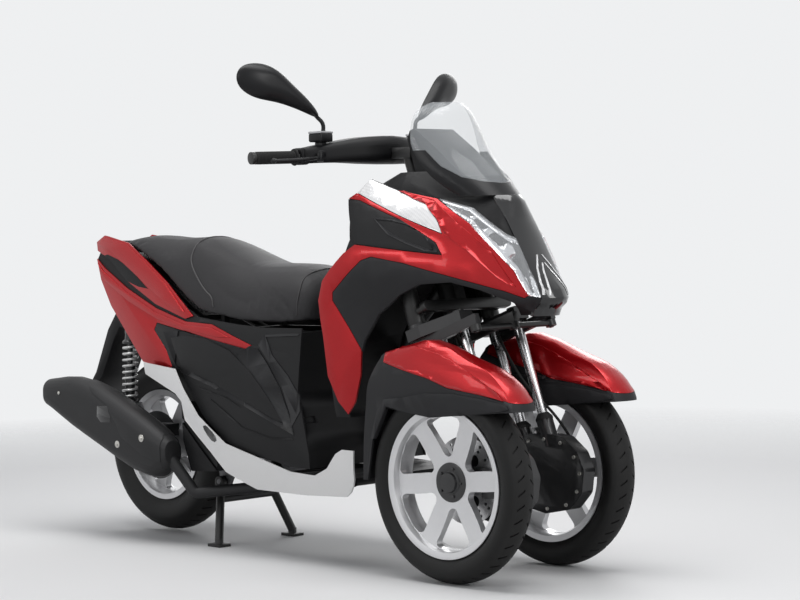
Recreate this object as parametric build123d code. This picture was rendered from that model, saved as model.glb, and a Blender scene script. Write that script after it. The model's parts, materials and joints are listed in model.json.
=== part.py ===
from build123d import *
from math import cos, radians, sin
import os

# A leaning scooter with two steered front wheels and one driven rear wheel, on its centre stand.
# Millimetres. Ahead is +X, left is +Y, up is +Z, and the floor is Z = 0.
# The tables measure x from the front axle. The written pieces are moved ahead by FRONT_AXLE_X,
# so that the origin lies on the floor under the middle of the vehicle's length.

os.makedirs("parts", exist_ok=True)

# Overall sizes
LENGTH = 1905.0
WHEELBASE = 1310.0
FRONT_TRACK = 385.0
BAR_SPAN = 735.0

# Clearances
SEAT = 0.25          # between a piece and the piece that carries it
RUNNING = 0.06       # radial, shaft in its bore
SWING = 6.0          # between pieces that move past each other
SEAM = 0.8           # on each side of the line between two cover panels

# Tyres, rims, hubs and discs
FRONT_TYRE_R = 250.0
FRONT_TYRE_W = 90.0
FRONT_BEAD_R = 178.0
FRONT_BEAD_HALF = 31.0
REAR_TYRE_R = 251.0
REAR_TYRE_W = 110.0
REAR_BEAD_R = 152.0
REAR_BEAD_HALF = 38.0
REAR_LIFT = 6.0      # floor to rear tyre, on the stand
TYRE_WALL = 9.0
RIM_WALL = 6.0
FLANGE_H = 9.0
FLANGE_T = 5.0
SPOKES = 6
SPOKE_TURN = -5.0    # how far the first spoke lies below straight ahead
SPOKE_AT_RIM = (60.0, 15.0, 6.0)     # width, thickness, offset to the outside
SPOKE_AT_HUB = (30.0, 17.0, -4.0)
HUB_R = 34.0
HUB_IN = 50.0        # wheel's centre plane to the hub's inner end
HUB_OUT = 8.0        # and to its outer end
CAP_R = 44.0
CAP_T = 9.0
AXLE_R = 12.0
DISC_T = 4.0
FRONT_DISC_R = 110.0
REAR_DISC_R = 100.0
REAR_HUB_LEFT = 72.0
REAR_HUB_RIGHT = 60.0

# Steering
CASTER = 20.0
TRAIL = 68.0
KINGPIN_Y = 140.0
KINGPIN_R = 14.0
STEER_ARM = 188.0    # kingpin to tie rod, square to the axis
ARM_S = 600.0        # tie rod's height along the axis
ARM_T = 16.0
PIN_R = 6.0
COLUMN_R = 15.0
HEAD_WALL = 9.0
CLAMP_S = (634.0, 664.0)
HEAD_S = (672.0, 812.0)
COLUMN_HEAD_S = (650.0, 900.0)
COLUMN_TOP_S = 1148.0
FORK_TUBE_R = 16.5
FORK_TUBE_Y = 102.0
FORK_TUBE_U = (33.0, 112.0)
FORK_LEG_IN = 82.0
FORK_LEG_OUT = 124.0

# Cover panels
PANEL_T = 5.0
LINER_T = 4.0
LAMP_HALF = 50.0     # half width of the nose between the lamps
SCREEN_T = 4.0

WHEEL_Y = FRONT_TRACK / 2
FRONT_AXLE_X = LENGTH / 2 - FRONT_TYRE_R
REAR_AXLE_X = -WHEELBASE
REAR_END = FRONT_TYRE_R - LENGTH
REAR_AXLE_Z = REAR_TYRE_R + REAR_LIFT
LINER_IN = PANEL_T + SEAT
BODY_IN = LINER_IN + LINER_T + SEAT


# Helpers

def both_sides(shape):
    """The piece and its twin across the centre plane, as solids that don't touch."""
    return Compound(children=[*shape.solids(), *shape.mirror(Plane.XZ).solids()])


def side_face(points, radius=0.0):
    """A side-view outline of x, z pairs as a face at y = 0."""
    corners = [(x, 0, z) for x, z in points]
    if radius:
        return make_face(FilletPolyline(*corners, radius=radius, close=True))
    return make_face(Polyline(*corners, close=True))


def side_prism(points, y_low, y_high, radius=0.0):
    """A side-view outline filled from y_low to y_high."""
    return Pos(0, y_low, 0) * extrude(side_face(points, radius), amount=y_high - y_low, dir=(0, 1, 0))


def rod(start, end, radius):
    """A round bar from one point to another."""
    axis = Vector(*end) - Vector(*start)
    return extrude(Plane(origin=start, z_dir=axis) * Circle(radius), amount=axis.length)


def tube_path(points, radius, bend):
    """A round bar along straight runs joined by arcs."""
    path = FilletPolyline(*points, radius=bend)
    return sweep(Plane(origin=path @ 0, z_dir=path % 0) * Circle(radius), path=path)


def box_between(low, high):
    size = [b - a for a, b in zip(low, high)]
    return Pos(*low) * Box(*size, align=(Align.MIN, Align.MIN, Align.MIN))


def steering_axis(y):
    """Local frame of a steering axis: u ahead, v left, s up along the axis."""
    tilt = radians(CASTER)
    return Plane(origin=(TRAIL, y, 0), x_dir=(cos(tilt), 0, sin(tilt)),
                 z_dir=(-sin(tilt), 0, cos(tilt))).location


def along_axis(radius, s_low, s_high, u=0.0, v=0.0):
    """A round bar parallel to a steering axis, in its local frame."""
    return Pos(u, v, s_low) * Cylinder(radius, s_high - s_low, align=(Align.CENTER, Align.CENTER, Align.MIN))


def between(rows, steps):
    """The rows of a table with more rows put between them, on smooth curves through each column."""
    filled = []
    for index in range(len(rows) - 1):
        before, start = rows[max(index - 1, 0)], rows[index]
        end, after = rows[index + 1], rows[min(index + 2, len(rows) - 1)]
        for step in range(steps):
            t = step / steps
            filled.append(tuple(
                b + 0.5 * t * (c - a + t * (2 * a - 5 * b + 4 * c - d + t * (3 * (b - c) + d - a)))
                for a, b, c, d in zip(before, start, end, after)))
    return [*filled, rows[-1]]


def wall_section(x, z_low, y_low, z_mid, y_mid, z_high, y_high, out, thickness):
    """Upright strip across a side wall at x, curved from its low to its high edge."""
    outer = ThreePointArc((x, y_low + out, z_low), (x, y_mid + out, z_mid), (x, y_high + out, z_high))
    inward = out - thickness
    inner = ThreePointArc((x, y_high + inward, z_high), (x, y_mid + inward, z_mid), (x, y_low + inward, z_low))
    return make_face([outer, Line(outer @ 1, inner @ 0), inner, Line(inner @ 1, outer @ 0)])


def side_wall(stations, out, thickness):
    """A curved left wall through a table of sections, moved outward by out."""
    return loft([wall_section(*row, out, thickness) for row in between(stations, 3)], ruled=True)


# Wheels, each built about the Y axis at the origin with its outer side at +Y

def tyre(outer_r, width, bead_r, bead_half):
    half = width / 2
    widest_r = outer_r - 0.45 * (outer_r - bead_r)
    tread_half = 0.78 * half
    tread_r = outer_r - 0.16 * width
    foot = bead_half - TYRE_WALL
    side_r = bead_r + FLANGE_H + 1
    section = make_face([
        Line((bead_half, bead_r), (bead_half, side_r)),
        ThreePointArc((bead_half, side_r), (half, widest_r), (tread_half, tread_r)),
        ThreePointArc((tread_half, tread_r), (0, outer_r), (-tread_half, tread_r)),
        ThreePointArc((-tread_half, tread_r), (-half, widest_r), (-bead_half, side_r)),
        Line((-bead_half, side_r), (-bead_half, bead_r)),
        Line((-bead_half, bead_r), (-foot, bead_r)),
        ThreePointArc((-foot, bead_r), (0, outer_r - 1.4 * TYRE_WALL), (foot, bead_r)),
        Line((foot, bead_r), (bead_half, bead_r))])
    return revolve(section, axis=Axis.X).rotate(Axis.Z, 90)


def rim_barrel(bead_r, bead_half):
    edge = bead_half + FLANGE_T
    top = bead_r - SEAT
    inside = bead_half + SEAT
    section = make_face(Polyline(
        (-edge, top + FLANGE_H), (-inside, top + FLANGE_H), (-inside, top), (inside, top),
        (inside, top + FLANGE_H), (edge, top + FLANGE_H), (edge, top - RIM_WALL), (-edge, top - RIM_WALL),
        close=True))
    return revolve(section, axis=Axis.X).rotate(Axis.Z, 90)


def spokes(bead_r):
    width, thickness, offset = SPOKE_AT_HUB
    inner = Plane(origin=(0.75 * HUB_R, offset, 0), z_dir=(1, 0, 0)) * Rectangle(width, thickness)
    width, thickness, offset = SPOKE_AT_RIM
    outer = Plane(origin=(bead_r - RIM_WALL / 2, offset, 0), z_dir=(1, 0, 0)) * Rectangle(width, thickness)
    spoke = loft([inner.face(), outer.face()])
    return [spoke.rotate(Axis.Y, 360 / SPOKES * index + SPOKE_TURN) for index in range(SPOKES)]


def front_rim():
    hub = rod((0, -HUB_IN, 0), (0, HUB_OUT, 0), HUB_R) + rod((0, HUB_OUT, 0), (0, HUB_OUT + CAP_T, 0), CAP_R)
    wheel = rim_barrel(FRONT_BEAD_R, FRONT_BEAD_HALF) + spokes(FRONT_BEAD_R) + hub
    return wheel - rod((0, -HUB_IN - 1, 0), (0, SEAT, 0), AXLE_R + RUNNING)


def rear_rim():
    hub = rod((0, -REAR_HUB_RIGHT, 0), (0, REAR_HUB_LEFT, 0), HUB_R)
    disc = rod((0, -REAR_HUB_RIGHT, 0), (0, DISC_T - REAR_HUB_RIGHT, 0), REAR_DISC_R)
    wheel = rim_barrel(REAR_BEAD_R, REAR_BEAD_HALF) + spokes(REAR_BEAD_R) + hub + disc
    return wheel - rod((0, -REAR_HUB_RIGHT - 1, 0), (0, REAR_HUB_LEFT + 1, 0), AXLE_R + RUNNING)


def front_disc():
    plate = rod((0, -HUB_IN - DISC_T, 0), (0, -HUB_IN, 0), FRONT_DISC_R)
    plate -= rod((0, -HUB_IN - DISC_T, 0), (0, -HUB_IN, 0), AXLE_R + 8)
    for ring_r, count, hole_r in ((58.0, 6, 14.0), (84.0, 18, 4.0), (98.0, 18, 4.0)):
        for index in range(count):
            hole = Pos(ring_r, 0, 0) * rod((0, -HUB_IN - DISC_T, 0), (0, -HUB_IN, 0), hole_r)
            plate -= hole.rotate(Axis.Y, 360 / count * (index + ring_r % 2))
    return plate


# Forks, in the vehicle's frame. side is +1 on the left, -1 on the right.

def place_on_axis(shape, side):
    return steering_axis(side * KINGPIN_Y) * shape


def steering_arm(root_half):
    """Arm from a steering axis ahead to its tie rod pin, in the axis's local frame."""
    low = ARM_S + ARM_T / 2 + SEAT
    arm = box_between((-root_half, -8.5, low), (STEER_ARM + 14, 8.5, CLAMP_S[0]))
    return arm + along_axis(PIN_R, ARM_S - ARM_T / 2 - 3, low, STEER_ARM)


FORK_LEG = [(-20, 344), (60, 353), (124, 346), (171, 310), (192, 266), (184, 208), (144, 165), (64, 149),
            (-30, 166), (-44, 256)]                                          # x, z
CALIPER = [(70, 214), (132, 214), (140, 250), (132, 286), (70, 286)]
CALIPER_OUT = 162.0
DISC_GAP = 5.0


def fork(side):
    inward = -side * (KINGPIN_Y - FORK_TUBE_Y)
    clamp_low, clamp_high = CLAMP_S
    outline = [(-24, -24 * side), (-24, 24 * side), (24, 24 * side), (136, inward + 24 * side),
               (136, inward - 24 * side), (8, inward - 24 * side)]
    upper = Pos(0, 0, clamp_low) * extrude(make_face(Polyline(*outline, close=True)), clamp_high - clamp_low)
    upper += along_axis(KINGPIN_R, clamp_high, HEAD_S[1] + 8)
    upper += along_axis(KINGPIN_R + 6, HEAD_S[1] + SEAT, HEAD_S[1] + 10)
    upper += along_axis(KINGPIN_R + 9, clamp_high, HEAD_S[0] - SEAT)
    upper += steering_arm(18)
    for u in FORK_TUBE_U:
        upper += along_axis(FORK_TUBE_R, 330, clamp_high + 6, u, inward)
        upper += along_axis(FORK_TUBE_R + 5, 300, 372, u, inward)
    piece = place_on_axis(upper, side)
    centre = Pos(0, 0, FRONT_TYRE_R)
    leg = side_prism(FORK_LEG, FORK_LEG_IN, FORK_LEG_OUT, 24)
    axle = centre * rod((0, FORK_LEG_IN + 10, 0), (0, WHEEL_Y - SEAT, 0), AXLE_R)
    flange = centre * rod((0, FORK_LEG_OUT, 0), (0, FORK_LEG_OUT + 8, 0), AXLE_R + 10)
    disc_y = WHEEL_Y - HUB_IN - DISC_T
    slot = centre * rod((0, disc_y - DISC_GAP, 0), (0, disc_y + DISC_T + DISC_GAP, 0), FRONT_DISC_R + DISC_GAP)
    caliper = side_prism(CALIPER, FORK_LEG_OUT - 2, CALIPER_OUT) - slot
    lower = leg + axle + flange + caliper
    return piece + (lower if side > 0 else lower.mirror(Plane.XZ))


# Front fender: plan sections round the wheel, each a back line, side arcs and a nose arc
FENDER = [
    # z, x of the back, half width at the back, in the middle, x of the front, half width there
    (240, -262, 50, 60, 236, 46),
    (345, -256, 52, 60, 238, 46),
    (440, -243, 54, 60, 238, 44),
    (470, -240, 54, 60, 222, 42),
    (497, -232, 53, 59, 200, 38),
    (529, -214, 50, 55, 154, 32),
    (551, -198, 46, 50, 90, 28),
    (567, -186, 40, 45, 50, 24),
    (584, -122, 30, 36, 8, 20),
    (599, -72, 16, 20, -42, 12),
]
FENDER_T = 3.0
FENDER_LINER_T = 2.75
FENDER_EDGE = [(-300, 244), (-244, 244), (-222, 346), (-168, 430), (-16, 413), (206, 433), (300, 438), (300, 640),
               (-300, 640)]                                                  # x, z
FENDER_RED = [(-188, 640), (-184, 543), (-108, 525), (-25, 508), (42, 487), (140, 474), (220, 461), (300, 441),
              (300, 640)]


def fender_half(inset):
    """Left half of a fender's outer form about the wheel's centre plane, moved inward by inset."""
    sections = []
    for z, back_x, back_half, mid_half, front_x, front_half in between(FENDER, 2):
        level = z - inset
        back, front = back_x + inset, front_x - inset
        side = ThreePointArc((back, back_half - inset, level), ((back + front) / 2, mid_half - inset, level),
                             (front, front_half - inset, level))
        nose = ThreePointArc(side @ 1, (front + 0.26 * front_half, 0.55 * front_half, level),
                             (front + 0.35 * front_half, 0, level))
        keel = Line(nose @ 1, (back - 0.15 * back_half, 0, level))
        sections.append(make_face([side, nose, keel, Line(keel @ 1, side @ 0)]))
    return loft(sections, ruled=True)


def at_left_wheel(half):
    """A half and its twin about the wheel's centre plane, moved to the left wheel."""
    return Pos(0, WHEEL_Y, 0) * (half + half.mirror(Plane.XZ))


def fender():
    skin = fender_half(0) - fender_half(FENDER_T)
    return at_left_wheel(skin & panel_prism(FENDER_RED))


def fender_skirt():
    """Grey shell that carries the painted top in a step, with its stay to the fork tubes."""
    shell = fender_half(0) - fender_half(FENDER_T + SEAT + FENDER_LINER_T)
    step = panel_prism(FENDER_RED, grow=0) - fender_half(FENDER_T + SEAT)
    stay = box_between((-92, FORK_TUBE_Y + FORK_TUBE_R + SEAT, 487), (26, WHEEL_Y - 56, 494))
    return at_left_wheel((shell & panel_prism(FENDER_EDGE, grow=0)) - step) + stay


def tie_rod():
    bar = Pos(STEER_ARM, 0, ARM_S) * rod((0, -KINGPIN_Y, 0), (0, KINGPIN_Y, 0), 7.5)
    ends = (-KINGPIN_Y, 0.0, KINGPIN_Y)
    for v in ends:
        bar += along_axis(PIN_R + 8, ARM_S - ARM_T / 2, ARM_S + ARM_T / 2, STEER_ARM, v)
    for v in ends:
        bar -= along_axis(PIN_R + RUNNING, ARM_S - ARM_T, ARM_S + ARM_T, STEER_ARM, v)
    return steering_axis(0) * bar


# Leaning linkage

ARM_LEVELS = (704.0, 784.0)      # height of the two arms along the axis
ARM_U = (44.0, 62.0)             # their back and front, ahead of the axis
LINK_HALF = 162.0


def leaning_arms():
    """Upper and lower cross arms, which keep the two forks parallel."""
    back, front = ARM_U
    arms = []
    for level in ARM_LEVELS:
        arm = box_between((back, -LINK_HALF, level - 14), (front, LINK_HALF, level + 14))
        arms += (steering_axis(0) * fillet(arm.edges().filter_by(Axis.X), 13)).solids()
    return Compound(children=arms)


def steering_heads():
    """Left and right bearing tubes of the forks, on the ends of the arms."""
    low, high = HEAD_S
    head = along_axis(KINGPIN_R + HEAD_WALL, low, high)
    for level in ARM_LEVELS:
        head += Pos(ARM_U[0] - SEAT, 0, level) * Rot(0, -90, 0) * Cylinder(
            11, ARM_U[0] - SEAT, align=(Align.CENTER, Align.CENTER, Align.MIN))
    head -= along_axis(KINGPIN_R + RUNNING, low - 1, high + 1)
    return both_sides(steering_axis(KINGPIN_Y) * head)


# Frame

RAIL_R = 12.0
CROSS_R = 10.0
SPINE_R = 20.0
FLOOR_Z = 238.0
FLOOR_T = 12.0
RAIL_Z = FLOOR_Z - FLOOR_T - SEAT - RAIL_R
RAIL = [(-420, 120, RAIL_Z), (-690, 135, RAIL_Z), (-830, 135, 430), (-1000, 118, 585), (-1440, 72, 765)]
SPINE = [(-190, 0, 735), (-318, 0, 610), (-398, 0, 420), (-420, 0, RAIL_Z)]
CROSS_BARS = [(-420, 120, RAIL_Z), (-690, 135, RAIL_Z), (-965, 121.5, 553), (-1425, 73.6, 758.9)]
SHOCK_TOP = (-1345.0, 125.0, 590.0)
SHOCK_FOOT = (-1355.0, 125.0, 372.0)
SPRING_R = 24.0


def frame():
    head = along_axis(COLUMN_R + HEAD_WALL, *COLUMN_HEAD_S)
    back, front = ARM_U
    gusset = box_between((0, -18, ARM_LEVELS[0] - 12), (back - SEAT, 18, ARM_LEVELS[1] + 12))
    body = steering_axis(0) * (head + gusset)
    body += tube_path(SPINE, SPINE_R, 70)
    rails = tube_path(RAIL, RAIL_R, 60)
    hanger = box_between((SHOCK_TOP[0] - 16, 78, SHOCK_TOP[2] - 16), (SHOCK_TOP[0] + 16, 114, 730))
    rails += hanger
    body += rails
    body += rails.mirror(Plane.XZ)
    for x, y, z in CROSS_BARS:
        body += rod((x, -y, z), (x, y, z), CROSS_R)
    return body - steering_axis(0) * along_axis(COLUMN_R + RUNNING, COLUMN_HEAD_S[0] - 30, COLUMN_HEAD_S[1] + 1)


# Front cowl: plan sections, each a back line, two side arcs and a nose arc
COWL = [
    # z, half width at the back, x and half width of the middle, of the front corner, x of the nose
    (395, 232, -110, 150, 120, 44, 140),
    (640, 238, -110, 164, 138, 52, 166),
    (700, 240, -110, 178, 152, 66, 205),
    (770, 240, -110, 187, 128, 70, 150),
    (840, 232, -110, 172, 92, 68, 108),
    (900, 214, -110, 147, 55, 62, 80),
    (960, 184, -125, 112, 15, 46, 50),
    (1020, 136, -180, 86, -110, 52, -85),
]
COWL_BACK = -430.0

# Side views of the cowl's panels, as x, z pairs
COWL_EDGE = [(-345, 970), (-325, 1005), (-235, 976), (-110, 950), (20, 952), (92, 950), (230, 700), (178, 657),
             (118, 657), (110, 690), (40, 720), (-30, 740), (-110, 735), (-165, 710), (-235, 660), (-280, 595),
             (-298, 545), (-297, 505), (-317, 435), (-340, 402), (-370, 435), (-400, 500), (-410, 600),
             (-417, 645), (-421, 695), (-405, 745), (-372, 780), (-335, 815), (-300, 838), (-365, 955)]
RED_COWL = [(-345, 970), (-325, 1005), (-235, 976), (-110, 950), (-10, 888), (60, 822), (112, 770), (150, 706),
            (140, 700), (95, 718), (-30, 755), (-155, 790), (-245, 806), (-275, 797), (-305, 772), (-340, 742),
            (-370, 716), (-372, 695), (-322, 620), (-292, 570), (-297, 505), (-317, 435), (-340, 402),
            (-370, 435), (-400, 500), (-410, 600), (-417, 645), (-421, 695), (-405, 745), (-372, 780),
            (-335, 815), (-300, 838), (-365, 955)]
TRIANGLE = [(-365, 955), (-300, 838), (-150, 820), (-55, 809), (-75, 839), (-125, 869), (-185, 899), (-325, 950)]
SIGNAL = [(-325, 1005), (-235, 976), (-130, 938), (-85, 893), (-65, 861), (-195, 910), (-345, 970)]
HEADLAMP = [(-110, 950), (-15, 924), (75, 859), (115, 834), (137, 793), (176, 702), (150, 706), (112, 770),
            (60, 822), (-10, 888)]
GREY_COWL = [(150, 706), (140, 700), (95, 718), (-30, 755), (-155, 790), (-245, 806), (-275, 797), (-305, 772),
             (-340, 742), (-370, 716), (-372, 695), (-322, 620), (-292, 570), (-298, 545), (-280, 595),
             (-235, 660), (-165, 710), (-110, 735), (-30, 740), (40, 720), (110, 690), (150, 662), (176, 662),
             (190, 690), (176, 702)]
NOSE = [(20, 955), (96, 955), (230, 700), (176, 655), (118, 655), (120, 790), (60, 880)]
LEG_SHIELD = [(-322, 250), (-352, 250), (-386, 420), (-404, 560), (-415, 645), (-417, 695), (-402, 742),
              (-368, 777), (-334, 810), (-322, 850), (-350, 949), (-318, 950), (-292, 850), (-300, 800),
              (-340, 765), (-378, 700), (-366, 560), (-340, 420)]


def cowl_half(inset, z_low=0.0, z_high=2000.0):
    """Left half of the front cowl's outer form, moved inward by inset, with the rows that bound z_low to z_high."""
    rows = between(COWL, 3)
    kept = [row for row, below, above in zip(rows, [rows[0], *rows], [*rows[1:], rows[-1]])
            if above[0] > z_low and below[0] < z_high]
    sections = []
    for z, back_half, mid_x, mid_half, corner_x, corner_half, nose_x in kept:
        back, mid = back_half - inset, mid_half - inset
        corner_x, corner, nose_x = corner_x - 0.7 * inset, corner_half - 0.7 * inset, nose_x - inset
        side = ThreePointArc((COWL_BACK, back, z), (mid_x, mid, z), (corner_x, corner, z))
        rounding = 0.72 * (nose_x - corner_x)
        nose = ThreePointArc(side @ 1, (corner_x + rounding, 0.55 * corner, z), (nose_x, 0, z))
        keel = Line(nose @ 1, (COWL_BACK, 0, z))
        sections.append(make_face([side, nose, keel, Line(keel @ 1, side @ 0)]))
    return loft(sections, ruled=True)


def whole(half):
    """A left half and its twin, joined on the centre plane."""
    return half + half.mirror(Plane.XZ)


WIDE = 300.0


def panel_prism(outline, cuts=(), half_in=0.0, grow=-SEAM):
    """Left of half_in, what a side-view outline covers, less the outlines in cuts, with a seam all round."""
    face = offset(side_face(outline), amount=grow).face() if grow else side_face(outline)
    for cut in cuts:
        face -= offset(side_face(cut), amount=SEAM)
    return Pos(0, half_in, 0) * extrude(face, amount=WIDE - half_in, dir=(0, 1, 0))


def cowl_skin(front, back, outline):
    """Left shell between two insets, tall enough for a side-view outline."""
    low, high = min(z for _, z in outline), max(z for _, z in outline)
    return cowl_half(front, low, high) - cowl_half(back, low, high)


def cowl_panel(outline, cuts=(), half_in=0.0):
    return cowl_skin(0, PANEL_T, outline) & panel_prism(outline, cuts, half_in)


def cowl_red():
    return both_sides(cowl_panel(RED_COWL, (TRIANGLE, SIGNAL, HEADLAMP), LAMP_HALF + SEAM))


def cowl_side_vent():
    return both_sides(cowl_panel(TRIANGLE))


def signal_lenses():
    return both_sides(cowl_panel(SIGNAL))


def headlamps():
    return both_sides(cowl_panel(HEADLAMP, (), LAMP_HALF + SEAM))


def cowl_grey():
    return both_sides(cowl_panel(GREY_COWL, (RED_COWL,), LAMP_HALF + SEAM))


def cowl_nose():
    strip = cowl_skin(0, PANEL_T, NOSE) & panel_prism(NOSE, grow=0)
    return whole(strip & box_between((-20, 0, 600), (400, LAMP_HALF, 1000)))


def cowl_liner():
    """Black inner shell that carries the panels, open behind the lamps, with the leg shield."""
    shell = cowl_skin(LINER_IN, LINER_IN + LINER_T, COWL_EDGE)
    liner = shell & panel_prism(COWL_EDGE)
    liner -= panel_prism(HEADLAMP, (), LAMP_HALF + 8, -8)
    shield = panel_prism(LEG_SHIELD, grow=0) & cowl_half(LINER_IN)
    return whole(liner + shield) - tube_path(SPINE, SPINE_R + SEAT, 70)


# Dash, screen and its stays: cross sections and plan arcs

DASH = [(-338, 955, 128, 1012), (-235, 955, 126, 1052), (-150, 940, 116, 1044), (-90, 915, 104, 1014),
        (0, 850, 92, 968), (62, 790, 74, 925)]                # x, low z, half width, crown z
METER = [(-244, 1126), (-228, 1132), (-150, 1078), (-60, 1006), (-60, 980), (-225, 1020), (-252, 1104)]
METER_HALF = 72.0
SCREEN = [(955.25, 37, -58, 92), (1005, -12, -126, 116), (1070, -72, -180, 126), (1130, -108, -194, 120),
          (1175, -132, -194, 96), (1196, -148, -180, 56)]      # z, x ahead, x and half width of the side


def dash():
    """Hood between the cowl's sides, with the meter on it."""
    sections = []
    for x, z_low, half, crown in between(DASH, 2):
        arch = ThreePointArc((x, half, z_low), (x, 0, crown), (x, -half, z_low))
        sections.append(make_face([arch, Line(arch @ 1, arch @ 0)]))
    low, high = min(row[1] for row in DASH), max(row[3] for row in DASH)
    hood = loft(sections, ruled=True) & whole(cowl_half(BODY_IN, low, high))
    lamp_room = panel_prism(HEADLAMP, half_in=LAMP_HALF - 8, grow=SEAT)
    meter = side_prism(METER, -METER_HALF, METER_HALF, 5)
    column = steering_axis(0) * along_axis(COLUMN_R + HEAD_WALL + SWING, 860, 1150)
    cut = screen_sheet(SEAT, SCREEN_T + SEAT) + column
    return (hood + meter) - lamp_room - lamp_room.mirror(Plane.XZ) - cut


def screen_sheet(out, reach):
    """Curved sheet from out beyond the screen's face to reach behind it."""
    sections = []
    for z, ahead, x_side, half in between(SCREEN, 3):
        outer = ThreePointArc((x_side, half + out, z), (ahead + out, 0, z), (x_side, -half - out, z))
        inner = ThreePointArc((x_side, reach - half, z), (ahead - reach, 0, z), (x_side, half - reach, z))
        sections.append(make_face([outer, Line(outer @ 1, inner @ 0), inner, Line(inner @ 1, outer @ 0)]))
    return loft(sections, ruled=True)


def windscreen():
    return screen_sheet(0, SCREEN_T)


# Handlebar body

GRIP_END_Y = BAR_SPAN / 2
BAR_R = 11.0
GRIP_R = 17.0
BAR_ROOT = (-400.0, 0.0, 1080.0)
BAR_BEND = (-452.0, 150.0, 1076.0)
GRIP_ROOT = (-500.0, 232.0, 1066.0)
GRIP_TIP = (-524.0, GRIP_END_Y - 12, 1063.0)
BAR_COVER = [(0, -412, 1084, 106, 74), (70, -420, 1083, 100, 70), (130, -442, 1080, 84, 58),
             (190, -472, 1073, 66, 46), (226, -492, 1068, 52, 40)]      # y, centre x, centre z, length, height
RESERVOIR = [(-486, 156, 1104), (-438, 204, 1132)]            # lowest and highest corner
MIRROR_STEM = [(-462, 172, 1120), (-462, 172, 1150), (-474, 196, 1180)]
MIRROR = [(-2, -6), (-6, 8), (14, 34), (63, 78), (106, 118), (145, 133), (186, 133), (210, 124), (226, 98),
          (214, 67), (174, 46), (100, 34), (40, 14)]             # outward from the stem, up
MIRROR_AT = (-470.0, 190.0, 1171.0)
MIRROR_TURN = 17.0
MIRROR_T = 12.0
LEVER = [(-439, 205, 1064), (-435, 238, 1061), (-462, 345, 1054)]


def bar_half():
    half = tube_path([BAR_ROOT, BAR_BEND, GRIP_ROOT, GRIP_TIP], BAR_R, 40)
    tip = Vector(*GRIP_TIP)
    along = (tip - Vector(*GRIP_ROOT)).normalized()
    return half + rod(tip, tip + along * 11.5, GRIP_R - 1)


def handlebar():
    """Tube, stem and pitman arm: one welded piece."""
    stem = along_axis(COLUMN_R, CLAMP_S[0], COLUMN_TOP_S)
    stem += along_axis(COLUMN_R + 7, COLUMN_HEAD_S[1] + SEAT, COLUMN_HEAD_S[1] + 14)
    stem += steering_arm(15) + along_axis(COLUMN_R, ARM_S + ARM_T / 2 + SEAT, CLAMP_S[0])
    half = bar_half()
    bridge = box_between((-420, -20, 1060), (-295, 20, 1088))
    return (steering_axis(0) * stem) + bridge + half + half.mirror(Plane.XZ)


def grips():
    root, tip = Vector(*GRIP_ROOT), Vector(*GRIP_TIP)
    along = (tip - root).normalized()
    grip = rod(root + along * 4, tip - along * SEAT, GRIP_R) - rod(root, tip + along, BAR_R + SEAT)
    return both_sides(grip)


def bar_cover():
    rows = between(BAR_COVER, 2)
    rows = [(-y, x, z, length, height) for y, x, z, length, height in reversed(rows[1:])] + rows
    sections = []
    for y, x, z, length, height in rows:
        plane = Plane(origin=(x, y, z), x_dir=(1, 0, 0), z_dir=(0, 1, 0))
        sections.append((plane * RectangleRounded(length, height, 0.36 * height)).face())
    half = tube_path([BAR_ROOT, BAR_BEND, GRIP_ROOT, GRIP_TIP], BAR_R + SEAT, 40)
    stem = steering_axis(0) * along_axis(COLUMN_R + SEAT, 900, COLUMN_TOP_S + SEAT)
    bridge = box_between((-420, -20 - SEAT, 1060 - SEAT), (-290, 20 + SEAT, 1088 + SEAT))
    return loft(sections, ruled=True) - half - half.mirror(Plane.XZ) - stem - bridge


def levers():
    """Brake levers with the reservoirs that their clamps carry."""
    lever = tube_path(LEVER, 5, 12) + Pos(*LEVER[-1]) * Sphere(8)
    pivot = Vector(*LEVER[0])
    lever += rod(pivot - Vector(0, 0, 9), pivot + Vector(0, 0, 9), 8)
    low, high = RESERVOIR
    lever += box_between(low, high) + box_between((low[0], low[1] + 20, pivot.Z), (pivot.X, low[1] + 50, low[2]))
    return both_sides(lever - bar_cover_space())


def bar_cover_space():
    sections = []
    for y, x, z, length, height in BAR_COVER:
        plane = Plane(origin=(x, y, z), x_dir=(1, 0, 0), z_dir=(0, 1, 0))
        grown = RectangleRounded(length + 2 * SEAT, height + 2 * SEAT, 0.36 * height)
        sections.append((plane * grown).face())
    return loft(sections, ruled=True)


def mirrors():
    outline = FilletPolyline(*[(out, height, 0) for out, height in MIRROR], radius=7, close=True)
    glass_side = make_face(outline)
    small = Pos(110, 82, MIRROR_T + 22) * scale(Pos(-110, -82, 0) * glass_side, by=0.62)
    middle = Pos(110, 82, MIRROR_T + 12) * scale(Pos(-110, -82, 0) * glass_side, by=0.86)
    pod = loft([glass_side, Pos(0, 0, MIRROR_T) * glass_side, middle, small], ruled=True)
    turn = radians(MIRROR_TURN)
    plane = Plane(origin=MIRROR_AT, x_dir=(-sin(turn), cos(turn), 0), z_dir=(cos(turn), sin(turn), 0))
    stem = tube_path([*MIRROR_STEM, plane.from_local_coords((30, 22, 10))], 6, 10)
    return both_sides((plane.location * pod + stem) - box_between(*RESERVOIR))


# Rider's body: stations of the side walls, from ahead to behind

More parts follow.
